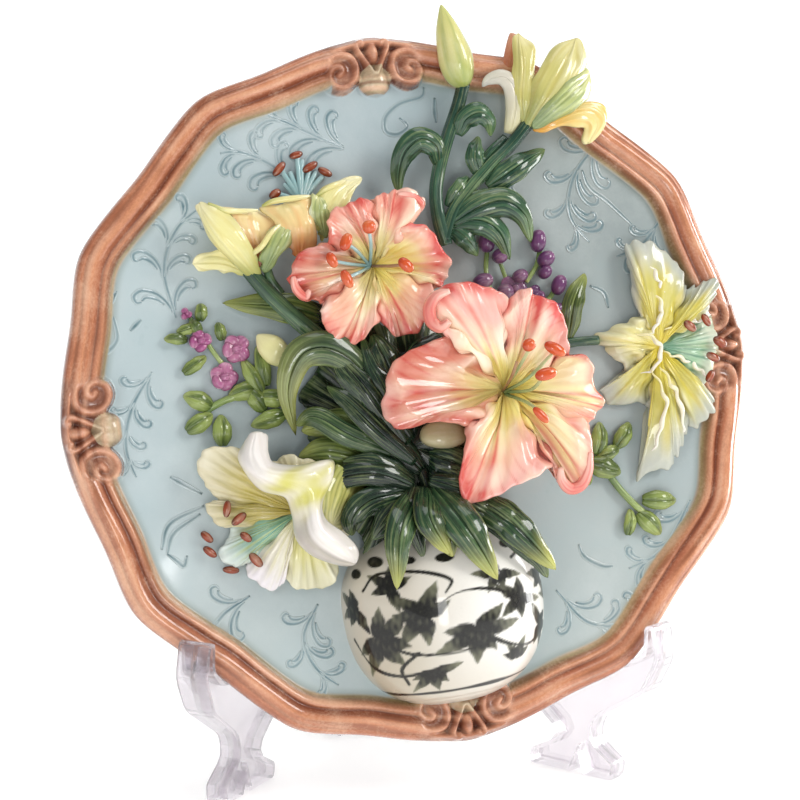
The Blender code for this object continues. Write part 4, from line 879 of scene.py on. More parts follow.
throatPaint = wash(rgb(76, 132, 104), rgb(136, 180, 156), rgb(206, 218, 212), rgb(176, 182, 90), 0.6, 9)
palePaint = wash(rgb(186, 182, 98), rgb(214, 208, 144), rgb(228, 224, 192), rgb(184, 178, 88), 0.5, 6)
lilacPaint = wash(rgb(206, 204, 120), rgb(232, 226, 206), rgb(238, 232, 236), rgb(196, 190, 110), 0.4, 6)
stripePaint = wash(rgb(150, 160, 80), rgb(206, 202, 120), rgb(232, 226, 170), rgb(132, 138, 56), 0.9, 9)
whiteLily = {
    "heart": (300, 512, 12),
    "outline": [(262, 462, 14, "n"), (248, 452, 15), (232, 448, 15), (214, 448, 13), (203, 456, 11, "t"),
                (199, 468, 10), (206, 484, 9), (216, 495, 8), (222, 500, 7, "n"), (213, 501, 8),
                (208, 506, 7, "t"), (214, 519, 7), (226, 527, 6), (234, 530, 5, "n"), (228, 540, 5),
                (222, 552, 4, "t"), (230, 564, 5), (242, 566, 5), (248, 562, 5, "n"), (250, 574, 6),
                (262, 584, 6), (274, 589, 5, "t"), (283, 582, 6), (287, 573, 5, "n"), (293, 585, 8),
                (306, 589, 8), (320, 587, 7, "t"), (333, 582, 8), (338, 566, 9), (334, 546, 11, "n"),
                (350, 530, 12), (352, 500, 14, "t"), (340, 480, 15), (322, 468, 15, "n"), (306, 460, 15),
                (290, 458, 14, "t"), (276, 460, 13)]}
# petals as middle line and two edges: a striped one behind, and the thick rim that rolls over the front
whiteRim = [([(352, 470, 16), (342, 497, 19), (331, 526, 17)],
             [(334, 466, 22), (325, 492, 24), (319, 520, 22)],
             [(366, 480, 10), (354, 504, 12), (343, 528, 13)], stripePaint),
            ([(256, 434, 20), (252, 455, 27), (260, 471, 31), (278, 479, 32), (303, 489, 30),
              (310, 512, 30), (316, 535, 33), (336, 552, 32), (356, 564, 25)],
             [(268, 436, 19), (269, 452, 24), (275, 462, 26), (300, 465, 25), (330, 460, 27),
              (334, 472, 28), (322, 498, 26), (326, 518, 27), (343, 533, 27), (358, 550, 25)],
             [(245, 440, 18), (237, 455, 20), (244, 470, 22), (260, 488, 22), (283, 495, 21),
              (291, 516, 19), (297, 538, 20), (315, 556, 22), (342, 567, 22)], rimPaint)]
# the groove colour is painted shade and the ridge colour a painted highlight
ivoryLook = {**petalLook, "rib": 0.3, "ruffle": 0.6, "uneven": 0.5, "fold": 0.8, "folds": 3, "crumple": 0.5,
             "grooveShade": (rgb(150, 146, 80), 0.35), "ridgeHighlight": rgb(255, 252, 240), "ridgeHighlightShare": 0.5}
clay = Clay("whiteLily")
bloom(clay, whiteLily["heart"], whiteLily["outline"],
      [ivoryPaint, ivoryPaint, throatPaint, lilacPaint, palePaint, ivoryPaint, ivoryPaint],
      {**ivoryLook, "seed": 12, "belly": 2.0, "crease": 3.0, "lap": 1.4, "lip": 1.6, "vein": 0.2,
       "crumple": 1.0, "under": rgb(186, 196, 186)})
for i, (spine, sideA, sideB, paint) in enumerate(whiteRim):
    own = {"vein": 0, "thick": 3.2} if paint is rimPaint else {"vein": 0.3, "thick": 2.6}
    sheet(clay, spine, sideA, sideB, paint, {**ivoryLook, **own, "seed": i + 3},
          rows=90 if paint is rimPaint else 46)
clay.finish(ivoryGlaze)

# Yellow lilies: petals as middle line and two edges
yellowPaint = wash(rgb(170, 176, 96), rgb(230, 222, 154), rgb(240, 232, 182), rgb(212, 192, 106), 0.25, 3)
apricotPaint = wash(rgb(198, 96, 36), rgb(238, 208, 146), rgb(240, 226, 170), rgb(230, 160, 92), 0.35, 3)
goldPaint = wash(rgb(220, 156, 52), rgb(226, 202, 124), rgb(232, 220, 156), rgb(230, 178, 66), 0.45, 3)
curlPaint = wash(rgb(198, 192, 150), rgb(206, 200, 184), rgb(216, 212, 204))
greenPetal = wash(rgb(130, 150, 96), rgb(172, 182, 116), rgb(214, 214, 150), rgb(110, 130, 80), 0.6, 5)
openPaint = wash(rgb(150, 156, 80), rgb(200, 192, 116), rgb(226, 216, 150), rgb(186, 168, 84), 0.35, 3)
yellowLilies = [
    ([(258, 268, 9), (255, 240, 13), (250, 222, 14), (247, 209, 12)],
     [(246, 246, 15), (233, 226, 16), (219, 208, 15)],
     [(272, 250, 14), (283, 236, 15), (287, 224, 14), (268, 213, 12)], apricotPaint),
    ([(259, 277, 9), (238, 255, 18), (214, 227, 19), (199, 203, 15)],
     [(256, 256, 15), (243, 228, 18), (224, 210, 17), (208, 202, 16)],
     [(244, 271, 10), (229, 258, 13), (213, 241, 14), (202, 222, 14), (196, 209, 14)], yellowPaint),
    ([(248, 273, 9), (222, 262, 12), (192, 264, 10)],
     [(230, 256, 12), (208, 250, 12)], [(226, 270, 9), (205, 269, 8)], yellowPaint),
    ([(301, 258, 10), (299, 232, 18), (291, 212, 18), (284, 203, 15)],
     [(286, 246, 13), (273, 224, 16), (261, 208, 14)],
     [(315, 248, 13), (316, 222, 17), (312, 203, 16), (303, 196, 15)], apricotPaint),
    ([(264, 271, 10), (275, 250, 18), (285, 231, 18), (284, 221, 15)],
     [(260, 258, 14), (264, 240, 17), (275, 226, 17)],
     [(275, 264, 13), (287, 246, 16), (291, 230, 16)], greenPetal),
    ([(322, 240, 10), (328, 213, 18), (339, 192, 18), (362, 178, 13)],
     [(315, 224, 14), (316, 202, 17), (324, 187, 17), (342, 177, 15)],
     [(332, 230, 15), (340, 214, 17), (352, 200, 17), (355, 187, 15)], yellowPaint),
    ([(325, 236, 12), (321, 214, 19), (318, 196, 18)],
     [(317, 226, 15), (312, 208, 17), (312, 196, 17)],
     [(332, 226, 16), (331, 208, 18), (326, 196, 17)], greenPetal),
]
openLily = [
    ([(524, 126, 9), (521, 95, 13), (522, 62, 14), (518, 33, 10)],
     [(516, 110, 11), (513, 85, 12), (512, 58, 12), (513, 40, 10)],
     [(530, 104, 13), (535, 76, 14), (536, 54, 13), (528, 40, 11)], openPaint),
    ([(527, 127, 10), (547, 94, 17), (564, 63, 17), (576, 38, 12)],
     [(527, 104, 12), (534, 76, 15), (548, 53, 15), (564, 41, 13)],
     [(548, 110, 14), (572, 86, 16), (585, 66, 15), (585, 47, 13)], openPaint),
    ([(533, 130, 9), (558, 119, 13), (584, 110, 14), (600, 121, 12), (588, 144, 8)],
     [(556, 112, 13), (582, 101, 14), (602, 107, 12), (606, 127, 10)],
     [(552, 131, 11), (570, 125, 13), (582, 129, 11), (582, 139, 9)], goldPaint),
    ([(532, 127, 11), (556, 106, 18), (577, 88, 18), (590, 74, 13)],
     [(546, 102, 16), (564, 82, 18), (582, 68, 16)],
     [(556, 120, 13), (577, 109, 14), (590, 96, 14)], greenPetal),
]
clay = Clay("yellowLilies")
for i, (spine, sideA, sideB, paint) in enumerate(yellowLilies):
    sheet(clay, spine, sideA, sideB, paint, {**ivoryLook, "vein": 0.15, "seed": i + 20})
for i, (spine, sideA, sideB, paint) in enumerate(openLily):
    sheet(clay, spine, sideA, sideB, paint, {**ivoryLook, "seed": i + 30})
leaf(clay, seen([(509, 133, 7), (514, 110, 10), (512, 88, 11), (502, 78, 11), (489, 80, 9), (482, 87, 7)]),
     4.2, curlPaint, {"thick": 2.6, "uneven": 0.3, "fat": 0.7})
# a point of the brown rim that runs up beside the open lily
tube(clay, seen([(503, 88, 3), (509, 62, 5), (513, 34, 4)]), lambda t: 2.9 * taper(t, 0.12, 0.80, 0.45),
     wash(rgb(150, 88, 58), rgb(186, 112, 78), rgb(206, 142, 106)), rows=30, sides=18, flat=0.7)
for k, path in enumerate([
        [(262, 206, 15), (274, 201, 17), (294, 198, 18), (311, 196, 17)],
        [(208, 203, 17), (224, 210, 18), (238, 211, 17), (258, 210, 16)],
        [(248, 268, 12), (251, 256, 15), (262, 246, 19), (272, 232, 19), (284, 222, 17)],
        [(316, 196, 18), (330, 187, 19), (346, 180, 17)]]):
    # raised edges of the yellow petals
    tube(clay, seen(path), lambda t: 1.3 * taper(t), yellowPaint, rows=40, ridge=0.08, seed=k)
clay.finish(ivoryGlaze)

# Right lily, low on the field
rightPaint = wash(rgb(224, 204, 50), rgb(204, 194, 100), rgb(176, 180, 168), rgb(206, 186, 58), 0.5, 5)
trumpetPaint = wash(rgb(228, 212, 96), rgb(232, 224, 160), rgb(196, 192, 150), rgb(214, 200, 104), 0.4, 5)
stamenPaint = wash(rgb(96, 152, 124), rgb(150, 186, 150), rgb(214, 222, 200), rgb(70, 124, 98), 0.8, 9)
rightLily = {
    "heart": (659, 346, 8),
    "outline": [(643, 314, 6, "n"), (636, 298, 5), (633, 278, 6), (628, 259, 6), (629, 244, 6, "t"),
                (643, 243, 7), (660, 250, 8), (675, 262, 8), (684, 275, 8), (686, 288, 7, "n"),
                (695, 287, 8), (705, 281, 9), (718, 281, 9, "t"), (716, 295, 9), (708, 307, 8),
                (711, 316, 7, "n"), (716, 330, 7), (717, 345, 7, "t"), (715, 360, 7), (709, 375, 7),
                (705, 384, 6, "n"), (712, 393, 8), (715, 405, 8, "t"), (708, 415, 7), (698, 425, 6),
                (689, 425, 5, "n"), (685, 433, 6), (682, 447, 6), (675, 456, 6), (672, 466, 5),
                (658, 468, 5), (638, 478, 3, "t"), (643, 460, 4), (648, 438, 4), (650, 415, 4),
                (648, 401, 4, "n"), (630, 404, 4), (611, 402, 3), (601, 391, 3, "t"), (609, 385, 4),
                (623, 378, 4), (626, 368, 4, "n"), (617, 357, 3), (606, 347, 3), (596, 340, 3, "t"),
                (608, 330, 5), (630, 322, 6)]}
clay = Clay("rightLily")
bloom(clay, rightLily["heart"], rightLily["outline"],
      [rightPaint, rightPaint, stamenPaint, rightPaint, rightPaint, rightPaint, trumpetPaint],
      {**ivoryLook, "seed": 44, "open": 0.5, "belly": 4.0, "crease": 2.6, "lap": 1.0, "lip": 1.4,
       "scallop": 1.4, "ruffle": 0.9, "rib": 0.4, "thick": 1.8, "fold": 0.7, "crumple": 0.9,
       "under": rgb(170, 180, 160)})
for k, path in enumerate([
        [(636, 250, 7), (648, 262, 10), (658, 278, 12), (664, 292, 12)],
        [(652, 286, 11), (662, 306, 12), (659, 322, 12), (651, 334, 12)],
        [(634, 333, 10), (650, 336, 12), (660, 344, 13), (661, 356, 12), (655, 368, 11), (642, 374, 8)],
        [(652, 368, 11), (661, 386, 12), (667, 403, 12), (662, 424, 10), (658, 440, 9), (650, 456, 6)],
        [(661, 366, 12), (672, 384, 12), (679, 398, 11), (684, 424, 8), (680, 438, 7)],
        [(666, 330, 10), (690, 322, 10), (706, 320, 9)], [(664, 352, 10), (690, 362, 10), (710, 378, 9)]]):
    # the thick frilled edges of its petals: a line that waves in all three directions
    t = np.linspace(0, 1, 60)
    wave = [0.55 * np.sin(27 * t + k), 0.45 * np.cos(23 * t + k), 0.25 * np.sin(33 * t + k) - 0.55]
    tube(clay, curveThrough(seen(path), 60) + np.stack(wave, -1),
         lambda t: taper(t, 0.04, 0.92, 0.8) * (1 + 0.2 * np.sin(24 * t)), creamPaint, rows=60, sides=14,
         seed=k)
clay.finish(ivoryGlaze)
print("lilies")


# Leaves: middle line as (column, row, height), half width in millimetres, paint
bouquetLeaves = [
    ([(410, 425, 14), (380, 382, 19), (352, 352, 18)], 7.5, darkLeaf),
    ([(400, 400, 14), (384, 362, 19), (372, 334, 17)], 7.5, darkLeaf),
    ([(404, 392, 12), (425, 356, 15), (447, 336, 14)], 8.0, darkLeaf),
    ([(395, 420, 10), (410, 380, 14), (430, 340, 12)], 8.0, darkLeaf),
    ([(410, 440, 16), (375, 402, 20), (350, 377, 20), (331, 357, 18)], 7.0, darkLeaf),
    ([(405, 447, 15), (364, 412, 18), (334, 388, 15)], 6.5, darkLeaf),
    ([(375, 442, 12), (338, 425, 15), (301, 431, 9)], 7.5, oliveLeaf),
    ([(362, 460, 12), (328, 452, 14), (298, 457, 9)], 6.5, oliveLeaf),
    ([(412, 482, 16), (375, 466, 20), (342, 462, 17)], 6.0, darkLeaf),
    ([(420, 470, 14), (385, 440, 17), (352, 432, 14)], 7.0, darkLeaf),
    ([(412, 490, 16), (380, 498, 19), (350, 516, 15)], 7.5, darkLeaf),
    ([(415, 492, 15), (392, 515, 20), (372, 540, 20)], 7.0, darkLeaf),
    ([(430, 455, 13), (452, 462, 17), (478, 475, 16)], 8.0, darkLeaf),
    ([(432, 470, 14), (458, 482, 18), (486, 490, 18)], 8.0, darkLeaf),
    ([(438, 492, 18), (480, 512, 26), (528, 538, 24)], 7.0, darkLeaf),
    ([(430, 430, 10), (445, 410, 14), (452, 390, 14)], 7.0, darkLeaf),
    ([(480, 498, 18), (515, 527, 31), (556, 570, 29)], 7.5, paleTip),
    ([(470, 500, 20), (500, 518, 30), (544, 552, 30)], 6.0, midLeaf),
    ([(415, 492, 18), (399, 532, 33), (397, 590, 34)], 6.4, paleTip),
    ([(440, 505, 22), (446, 532, 30), (453, 557, 31)], 6.0, paleTip),
    ([(425, 490, 20), (429, 520, 34), (450, 555, 34)], 6.2, paleTip),
    ([(434, 490, 20), (464, 526, 36), (498, 580, 35)], 8.4, paleTip),
    ([(380, 400, 15), (352, 362, 19), (322, 348, 21), (298, 358, 20), (287, 392, 17), (296, 436, 8)],
     7.2, droopLeaf),
    ([(405, 445, 18), (375, 402, 22), (355, 376, 22), (332, 350, 18)], 4.7, darkLeaf),
    ([(400, 440, 18), (389, 396, 22), (371, 362, 21), (362, 335, 16)], 4.4, darkLeaf),
    ([(414, 462, 19), (378, 432, 22), (347, 402, 21), (326, 386, 16)], 4.6, darkLeaf),
    ([(392, 452, 17), (350, 436, 20), (314, 417, 17), (296, 426, 11)], 5.0, midLeaf),
    ([(412, 486, 19), (376, 474, 22), (340, 478, 18), (330, 490, 13)], 5.2, darkLeaf),
    ([(404, 492, 18), (370, 500, 21), (351, 518, 20), (352, 536, 15)], 5.6, darkLeaf),
    ([(416, 488, 20), (412, 520, 28), (424, 560, 27)], 4.6, darkLeaf),
    ([(430, 480, 20), (470, 492, 24), (512, 512, 22)], 5.4, darkLeaf),
    ([(440, 488, 18), (492, 520, 27), (535, 556, 25), (548, 578, 20)], 5.0, darkLeaf),
    ([(330, 322, 5), (285, 308, 9), (222, 303, 4)], 6.4, oliveLeaf),
    ([(345, 330, 6), (300, 310, 7), (250, 300, 6)], 5.0, darkLeaf),
    ([(567, 338, 3), (573, 302, 8), (585, 273, 5)], 5.0, oliveLeaf)]
topLeaves = [
    ([(438, 163, 8), (433, 146, 14), (419, 140, 16), (404, 153, 13), (398, 175, 9), (399, 196, 5)],
     5.6, topLeaf),
    ([(458, 134, 9), (465, 120, 12), (478, 114, 14), (488, 121, 12), (491, 137, 7)], 4.8, topLeaf),
    ([(478, 173, 9), (474, 155, 12), (478, 136, 9)], 4.2, topLeaf),
    ([(488, 187, 8), (515, 168, 12), (545, 149, 6)], 5.6, topLeaf),
    ([(452, 224, 9), (478, 208, 13), (503, 202, 15), (523, 216, 13), (531, 243, 7)], 6.8, topLeaf),
    ([(450, 227, 8), (476, 221, 12), (497, 232, 12), (510, 260, 6)], 6.0, topLeaf),
    ([(462, 212, 9), (481, 198, 11), (496, 195, 7)], 3.8, topLeaf),
    ([(448, 206, 8), (459, 189, 11), (469, 177, 8)], 3.6, topLeaf),
    ([(452, 230, 8), (465, 240, 10), (478, 256, 6)], 4.2, topLeaf)]
# a near-black ground of leaf tips under the bouquet's leaves: painted shade for the deep shadow between them
ground = [(318, 372, 4, "n"), (328, 350, 6, "t"), (352, 336, 7, "n"), (372, 322, 8, "t"),
          (396, 332, 8, "n"), (425, 318, 9, "t"), (455, 332, 8, "n"), (468, 400, 12, "t"),
          (475, 470, 14, "n"), (503, 506, 16, "t"), (492, 530, 11, "n"), (520, 548, 12, "t"),
          (500, 566, 10, "n"), (470, 582, 13, "t"), (440, 572, 12, "n"), (410, 586, 13, "t"),
          (390, 566, 10, "n"), (366, 558, 8, "t"), (364, 536, 8, "n"), (346, 520, 9, "t"),
          (354, 496, 8, "n"), (334, 474, 8, "t"), (336, 450, 6, "n"), (310, 440, 5, "t"),
          (318, 418, 5, "n"), (300, 398, 4, "t")]
clay = Clay("bouquetLeaves")
# the ground's near-black paint is painted shade
bloom(clay, (412, 446, 15), ground, leafPaint(rgb(10, 20, 16), rgb(26, 44, 32), rgb(52, 76, 46), 0.7),
      {**leafLook, "seed": 71, "belly": 2.0, "crease": 4.0, "lap": 2.0, "lip": 1.0, "open": 1.0,
       "under": rgb(20, 34, 26)}, rows=50, per=9)
for i, (spine, width, paint) in enumerate(bouquetLeaves):
    leaf(clay, seen(spine), width, paint, {**leafLook, "seed": i})
clay.finish(leafGlaze)
# stems: path, radius, paint, rows, sides, depth of the ridges along them, seed
stems = [([(464, 84, 9), (458, 107, 9), (447, 140, 9), (439, 170, 9), (436, 195, 10), (439, 220, 10),
           (446, 245, 9)], 2.9, tealStem, 60, 20, 0.09, 1),
         ([(529, 122, 9), (510, 145, 9), (490, 165, 10), (470, 188, 10), (453, 212, 10), (444, 240, 9)],
          2.9, tealStem, 60, 20, 0.09, 3),
         ([(505, 138, 7), (490, 152, 8), (478, 168, 8)], 2.0, tealStem, 24, 16, 0.08, 4),
         ([(248, 270, 9), (270, 295, 10), (297, 320, 11), (328, 346, 11)], lambda t: 3.2 + 0.6 * t,
          stemPaint, 50, 20, 0.08, 5),
         ([(266, 262, 9), (270, 278, 9), (281, 294, 8)], 1.9, stemPaint, 24, 16, 0.06, 6),
         ([(556, 345, 4), (575, 342, 4), (598, 340, 4)], 2.2, tealStem, 24, 16, 0.0, 7)]
clay = Clay("topSpray")
for i, (spine, width, paint) in enumerate(topLeaves):
    leaf(clay, seen(spine), width, paint, {**leafLook, "seed": i + 50})
for path, radius, paint, rows, sides, ridge, seed in stems:
    tube(clay, seen(path), radius, paint, rows, sides, ridge=ridge, seed=seed)
clay.finish(leafGlaze)


def bud(clay, base, tip, width, paint, widest, seed):
    # end to end on its axis, widest at the given share of its length, with three soft ridges
    a, b = seen([base, tip])
    power = math.log(0.5) / math.log(widest)
    tube(clay, [a, (a + b) / 2, b],
         lambda t: width * np.sin(np.pi * np.clip(t * 0.97 + 0.015, 0, 1) ** power) ** 0.8, paint, rows=36,
         sides=30, flat=0.85, ridge=0.05, ridges=3, seed=seed)


budPaint = wash(rgb(164, 174, 92), rgb(214, 208, 138), rgb(196, 196, 116), rgb(140, 156, 84), 0.5, 3)
ivoryBud = wash(rgb(190, 196, 130), rgb(228, 222, 160), rgb(236, 228, 176))
clay = Clay("buds")
bud(clay, (464, 87, 10), (441, 5, 13), 7.6, budPaint, 0.34, 2)
bud(clay, (294, 368, 8), (257, 335, 6), 5.8, ivoryBud, 0.55, 4)
blob(clay, seen((443, 436, 20))[0], (10.0, 6.0, 5),
     wash(rgb(168, 156, 118), rgb(186, 176, 138), rgb(158, 150, 110)), angle=-8, lobes=3, lobe=0.12)
clay.finish(ivoryGlaze)

# Berries as (column, row), two half sizes and angle; florets as (column, row), size, petals and paint
purplePaint = wash(rgb(70, 40, 78), rgb(106, 62, 104), rgb(146, 92, 134))
magentaPaint = wash(rgb(118, 48, 92), rgb(168, 90, 136), rgb(222, 168, 196), rgb(110, 46, 90), 0.5, 3)
greenPaint = wash(rgb(96, 124, 66), rgb(132, 154, 86), rgb(160, 176, 110))
berries = [
    (487, 242, 4.6, 3.7, 80), (500, 256, 3.6, 3.3, 20), (538, 241, 5.0, 3.6, 75), (546, 259, 4.2, 3.4, 30),
    (483, 281, 4.6, 3.4, 10), (505, 292, 3.8, 3.6, 0), (559, 285, 4.6, 3.4, 60), (556, 309, 4.2, 2.6, 10),
    (545, 272, 3.4, 2.8, 40), (520, 276, 3.6, 3.0, 20)]
florets = [
    (200, 341, 4.4, 4, magentaPaint), (236, 349, 5.6, 5, magentaPaint), (224, 377, 5.4, 5, magentaPaint),
    (186, 314, 2.4, 3, magentaPaint), (514, 288, 5.6, 5, purplePaint), (534, 296, 4.6, 4, purplePaint)]
clay = Clay("smallFlowers")
for i, (x, y, a, b, angle) in enumerate(berries):
    blob(clay, seen((x, y, 5))[0], (a, b, 3.6), purplePaint, angle=angle, rows=18, sides=22, seed=i)
for i, (x, y, size, count, tint) in enumerate(florets):
    middle = seen((x, y, 3))[0]
    for k in range(count):
        # overlapping lobed petals round the middle, the outer ones tilted down
        angle = 360 * k / count + 33 * i
        off = np.array([math.cos(math.radians(angle)), math.sin(math.radians(angle)), -0.15 * (k % 2)])
        blob(clay, middle + off * size * 0.52, (size * 0.62, size * 0.60, 1.9), tint, angle=angle + 40 * k,
             sides=24, lobes=3, lobe=0.16, seed=k + 3 * i)
    blob(clay, middle + np.array([0.3, 0.2, 0.9]), (size * 0.42, size * 0.38, 1.8), tint, rows=14, lobes=5,
         lobe=0.22, seed=i)
clay.finish(smallGlaze)

# Sprig leaves on the field: (column, row), direction in degrees, length, half width; and thin stems: path
# and radius
sprigs = [(201, 311, 80, 6.5, 2.6), (185, 330, 190, 7, 2.2), (195, 326, 120, 6, 2.2),
          (175, 339, 170, 9, 2.4), (220, 330, 95, 7, 2.4), (196, 364, 28, 11.5, 2.7),
          (197, 400, 150, 12, 4.2), (201, 422, 25, 12.5, 4.0), (222, 429, 85, 12.5, 4.2),
          (252, 376, 110, 17, 3.6), (262, 365, 95, 17, 3.2), (242, 392, 190, 12, 4.0),
          (270, 398, 170, 14, 4.0), (268, 420, 190, 15, 4.0), (255, 398, 120, 12, 4.0),
          (599, 437, 75, 14, 4.0), (624, 434, 50, 12.5, 3.8), (610, 452, 15, 11, 3.0),
          (606, 468, 335, 16, 5.0), (661, 500, 350, 16, 4.4), (630, 521, 75, 11, 2.8),
          (651, 524, 310, 14, 4.4), (585, 476, 300, 10, 3.0)]
twigs = [([(190, 318, 1.2), (200, 332, 1.6), (212, 350, 1.8), (224, 366, 1.8)], 1.1),
         ([(206, 411, 1.2), (214, 406, 1.6), (226, 400, 2), (240, 396, 2.5)], 1.6),
         ([(596, 452, 2), (608, 459, 2.2), (614, 450, 2), (622, 443, 1.6)], 1.2),
         ([(606, 470, 2), (618, 487, 2.2), (632, 502, 2.2), (646, 515, 1.8)], 1.6),
         ([(487, 252, 3), (486, 270, 3), (490, 290, 4)], 1.1),
         ([(540, 250, 3), (536, 266, 3), (526, 282, 4)], 1.1),
         ([(555, 290, 3), (548, 300, 3.5), (540, 308, 5)], 1.2),
         ([(500, 262, 3), (505, 276, 3), (512, 292, 4)], 1.0)]
sprigPaint = wash(rgb(96, 116, 52), rgb(142, 158, 84), rgb(166, 178, 104), rgb(62, 84, 36), 0.8, 1)
sprigLook = {"thick": 2.2, "rib": 0.5, "ruffle": 0.15, "uneven": 0.15, "arch": 0.5, "keel": 0.2}
clay = Clay("sprigs")
for i, (x, y, angle, length, width) in enumerate(sprigs):
    middle = seen((x, y, 3))[0]
    way = np.array([math.cos(math.radians(angle)), math.sin(math.radians(angle)), 0]) * length / 2
    path = [middle - way - [0, 0, 1.6], middle, middle + way - [0, 0, 1.8]]
    leaf(clay, path, width, sprigPaint, {**sprigLook, "seed": i}, rows=20, across=15)
for i, (path, radius) in enumerate(twigs):
    tube(clay, seen(path), radius, greenPaint, rows=26, sides=12, seed=i)
clay.finish(leafGlaze)

# Anthers as (column, row, height), angle, half length, half width, paint; filaments as path and paint
# the fourth colour of rust is a pale line along the top of each anther: a painted highlight
rust = wash(rgb(70, 20, 8), rgb(142, 56, 22), rgb(80, 26, 10), rgb(236, 200, 170), 0.25, 1)
orange = wash(rgb(178, 58, 24), rgb(206, 84, 40), rgb(224, 124, 72))
filament = wash(rgb(100, 126, 78), rgb(150, 166, 112), rgb(200, 200, 150))
tealStrand = wash(rgb(120, 164, 168), rgb(150, 188, 190), rgb(170, 200, 202))
brownish = wash(rgb(120, 80, 56), rgb(150, 110, 76), rgb(170, 130, 90))
anthers = [(529, 345, 46, 20, 2.9, 2.4, orange), (555, 349, 44, -35, 5.0, 2.3, orange),
           (546, 374, 47, 5, 4.8, 2.4, orange), (541, 415, 42, -52, 4.4, 1.7, orange),
           (369, 227, 33, 90, 2.8, 2.6, orange), (346, 242, 33, 60, 3.8, 2.2, orange),
           (332, 260, 32, -70, 3.4, 1.9, orange), (347, 279, 33, -70, 4.0, 2.0, orange),
           (406, 265, 33, -50, 3.8, 2.2, orange), (279, 169, 3, 42, 4.6, 1.9, rust),
           (310, 167, 3, 25, 4.6, 1.9, rust), (325, 172, 3, -35, 4.0, 1.8, rust),
           (275, 194, 3, 30, 3.4, 2.0, rust), (296, 155, 3, 10, 3.6, 1.7, rust),
           (227, 509, 12, 75, 4.2, 1.8, rust), (239, 519, 13, 30, 4.4, 2.0, rust),
           (207, 537, 4, -50, 3.8, 1.8, rust), (210, 552, 4, -45, 4.0, 1.8, rust),
           (246, 537, 11, -45, 3.4, 1.8, rust), (256, 560, 12, -55, 4.4, 2.1, rust),
           (231, 570, 3, -15, 4.2, 1.7, rust), (690, 326, 13, -45, 4.0, 2.1, rust),
           (706, 320, 12, -65, 3.8, 1.8, rust), (720, 342, 12, -40, 4.2, 2.3, rust),
           (713, 357, 12, -35, 4.0, 2.0, rust), (710, 376, 11, 50, 3.6, 1.8, rust)]
filaments = [
    ([(502, 392, 16), (511, 378, 34), (517, 362, 40)], brownish),
    ([(504, 392, 18), (530, 390, 34), (543, 378, 44)], filament),
    ([(503, 390, 18), (516, 372, 34), (529, 350, 43)], filament),
    ([(504, 392, 18), (528, 378, 38), (552, 354, 42)], filament),
    ([(505, 394, 18), (526, 402, 34), (538, 410, 40)], filament),
    ([(370, 266, 13), (371, 246, 26), (369, 230, 31)], tealStrand),
    ([(370, 266, 13), (358, 252, 26), (348, 244, 31)], tealStrand),
    ([(370, 266, 13), (350, 264, 25), (334, 261, 30)], tealStrand),
    ([(370, 267, 13), (360, 272, 26), (349, 277, 31)], tealStrand),
    ([(371, 266, 13), (388, 266, 26), (403, 265, 31)], brownish)]
# teal strands that fan out of the yellow lilies over the field, from one root to these ends
strandRoot = (301, 203)
strandEnds = [
    (297, 155), (280, 168), (310, 168), (325, 173), (275, 193), (290, 172), (302, 160), (316, 172),
    (284, 184)]
clay = Clay("stamens")
for x, y, z, angle, length, width, paint in anthers:
    size = 0.84 if paint is rust else 1.0
    blob(clay, seen((x, y, z))[0], (length * size, width * size, width * size), paint, angle=angle,
         sides=16, lobes=2, lobe=0.12, seed=int(x))
for path, paint in filaments:
    tube(clay, seen(path), 0.75, paint, rows=26, sides=10)
for x, y in strandEnds:
    a, b = strandRoot
    tube(clay, seen([(a, b, 5), ((a + x) / 2, (b + y) / 2 - 1, 3), (x, y, 1.6)]), 1.1, tealStrand, rows=26,
         sides=10)
clay.finish(antherGlaze)
print("leaves, buds and stamens")


# Vase with brushed ink leaves, in millimetres. Clusters: across, up, size, first direction, strokes, degrees
# between them; lines: points and half width; spots: across, up and two half sizes
vase = {"middle": (-3.6, -90.0), "halfWidth": 43.6, "below": 44.5, "above": 34.0, "depth": 34.0,
        "fullness": 2.4, "rows": 190, "columns": 210, "white": rgb(238, 235, 228),
        "shade": rgb(188, 178, 158), "olive": rgb(96, 98, 70), "black": rgb(8, 9, 7),
        "clusters": [
            (-38, 3, 11, 100, 5, 48), (-29, -11, 15, 200, 6, 50), (-13, -3, 13, 20, 6, 52),
            (3, -13, 14, 160, 6, 50), (20, -3, 11, 80, 5, 66), (31, -17, 11, 230, 5, 60),
            (35, 4, 10, 30, 5, 66), (13, 9, 9, 120, 5, 55), (-22, 11, 10, 10, 5, 66),
            (-12, -27, 9, 190, 5, 45), (44, -5, 10, 120, 5, 60), (17, -27, 8, 20, 4, 50)],
        "lines": [([(-42, -10), (-34, -22), (-22, -27), (-8, -25)], 0.85),
                  ([(-29, -11), (-18, -18), (-4, -20), (8, -18)], 0.7),
                  ([(4, -14), (14, -21), (24, -23), (34, -18)], 0.8),
                  ([(-13, -4), (-2, 4), (10, 3), (20, -4)], 0.7),
                  ([(20, 14), (28, 17), (36, 13), (38, 6), (35, 1), (31, 3)], 0.95),
                  ([(-33, 10), (-26, 16), (-12, 15), (-3, 10), (-5, 5)], 0.85),
                  ([(-20, -31), (-22, -24), (-16, -18)], 0.8),
                  ([(44, -14), (47, -6), (43, 2), (39, 0)], 0.8),
                  ([(-60, -31), (-40, -34), (-16, -36), (10, -36), (34, -34), (58, -31)], 0.8)],
        "spots": [(-36, 17, 3.0, 2.0), (-26, 21, 3.4, 2.2), (-14, 20, 2.2, 1.5), (-3, 19, 3.0, 1.8),
                  (9, 20, 2.4, 1.6), (20, 20, 3.2, 1.9)]}


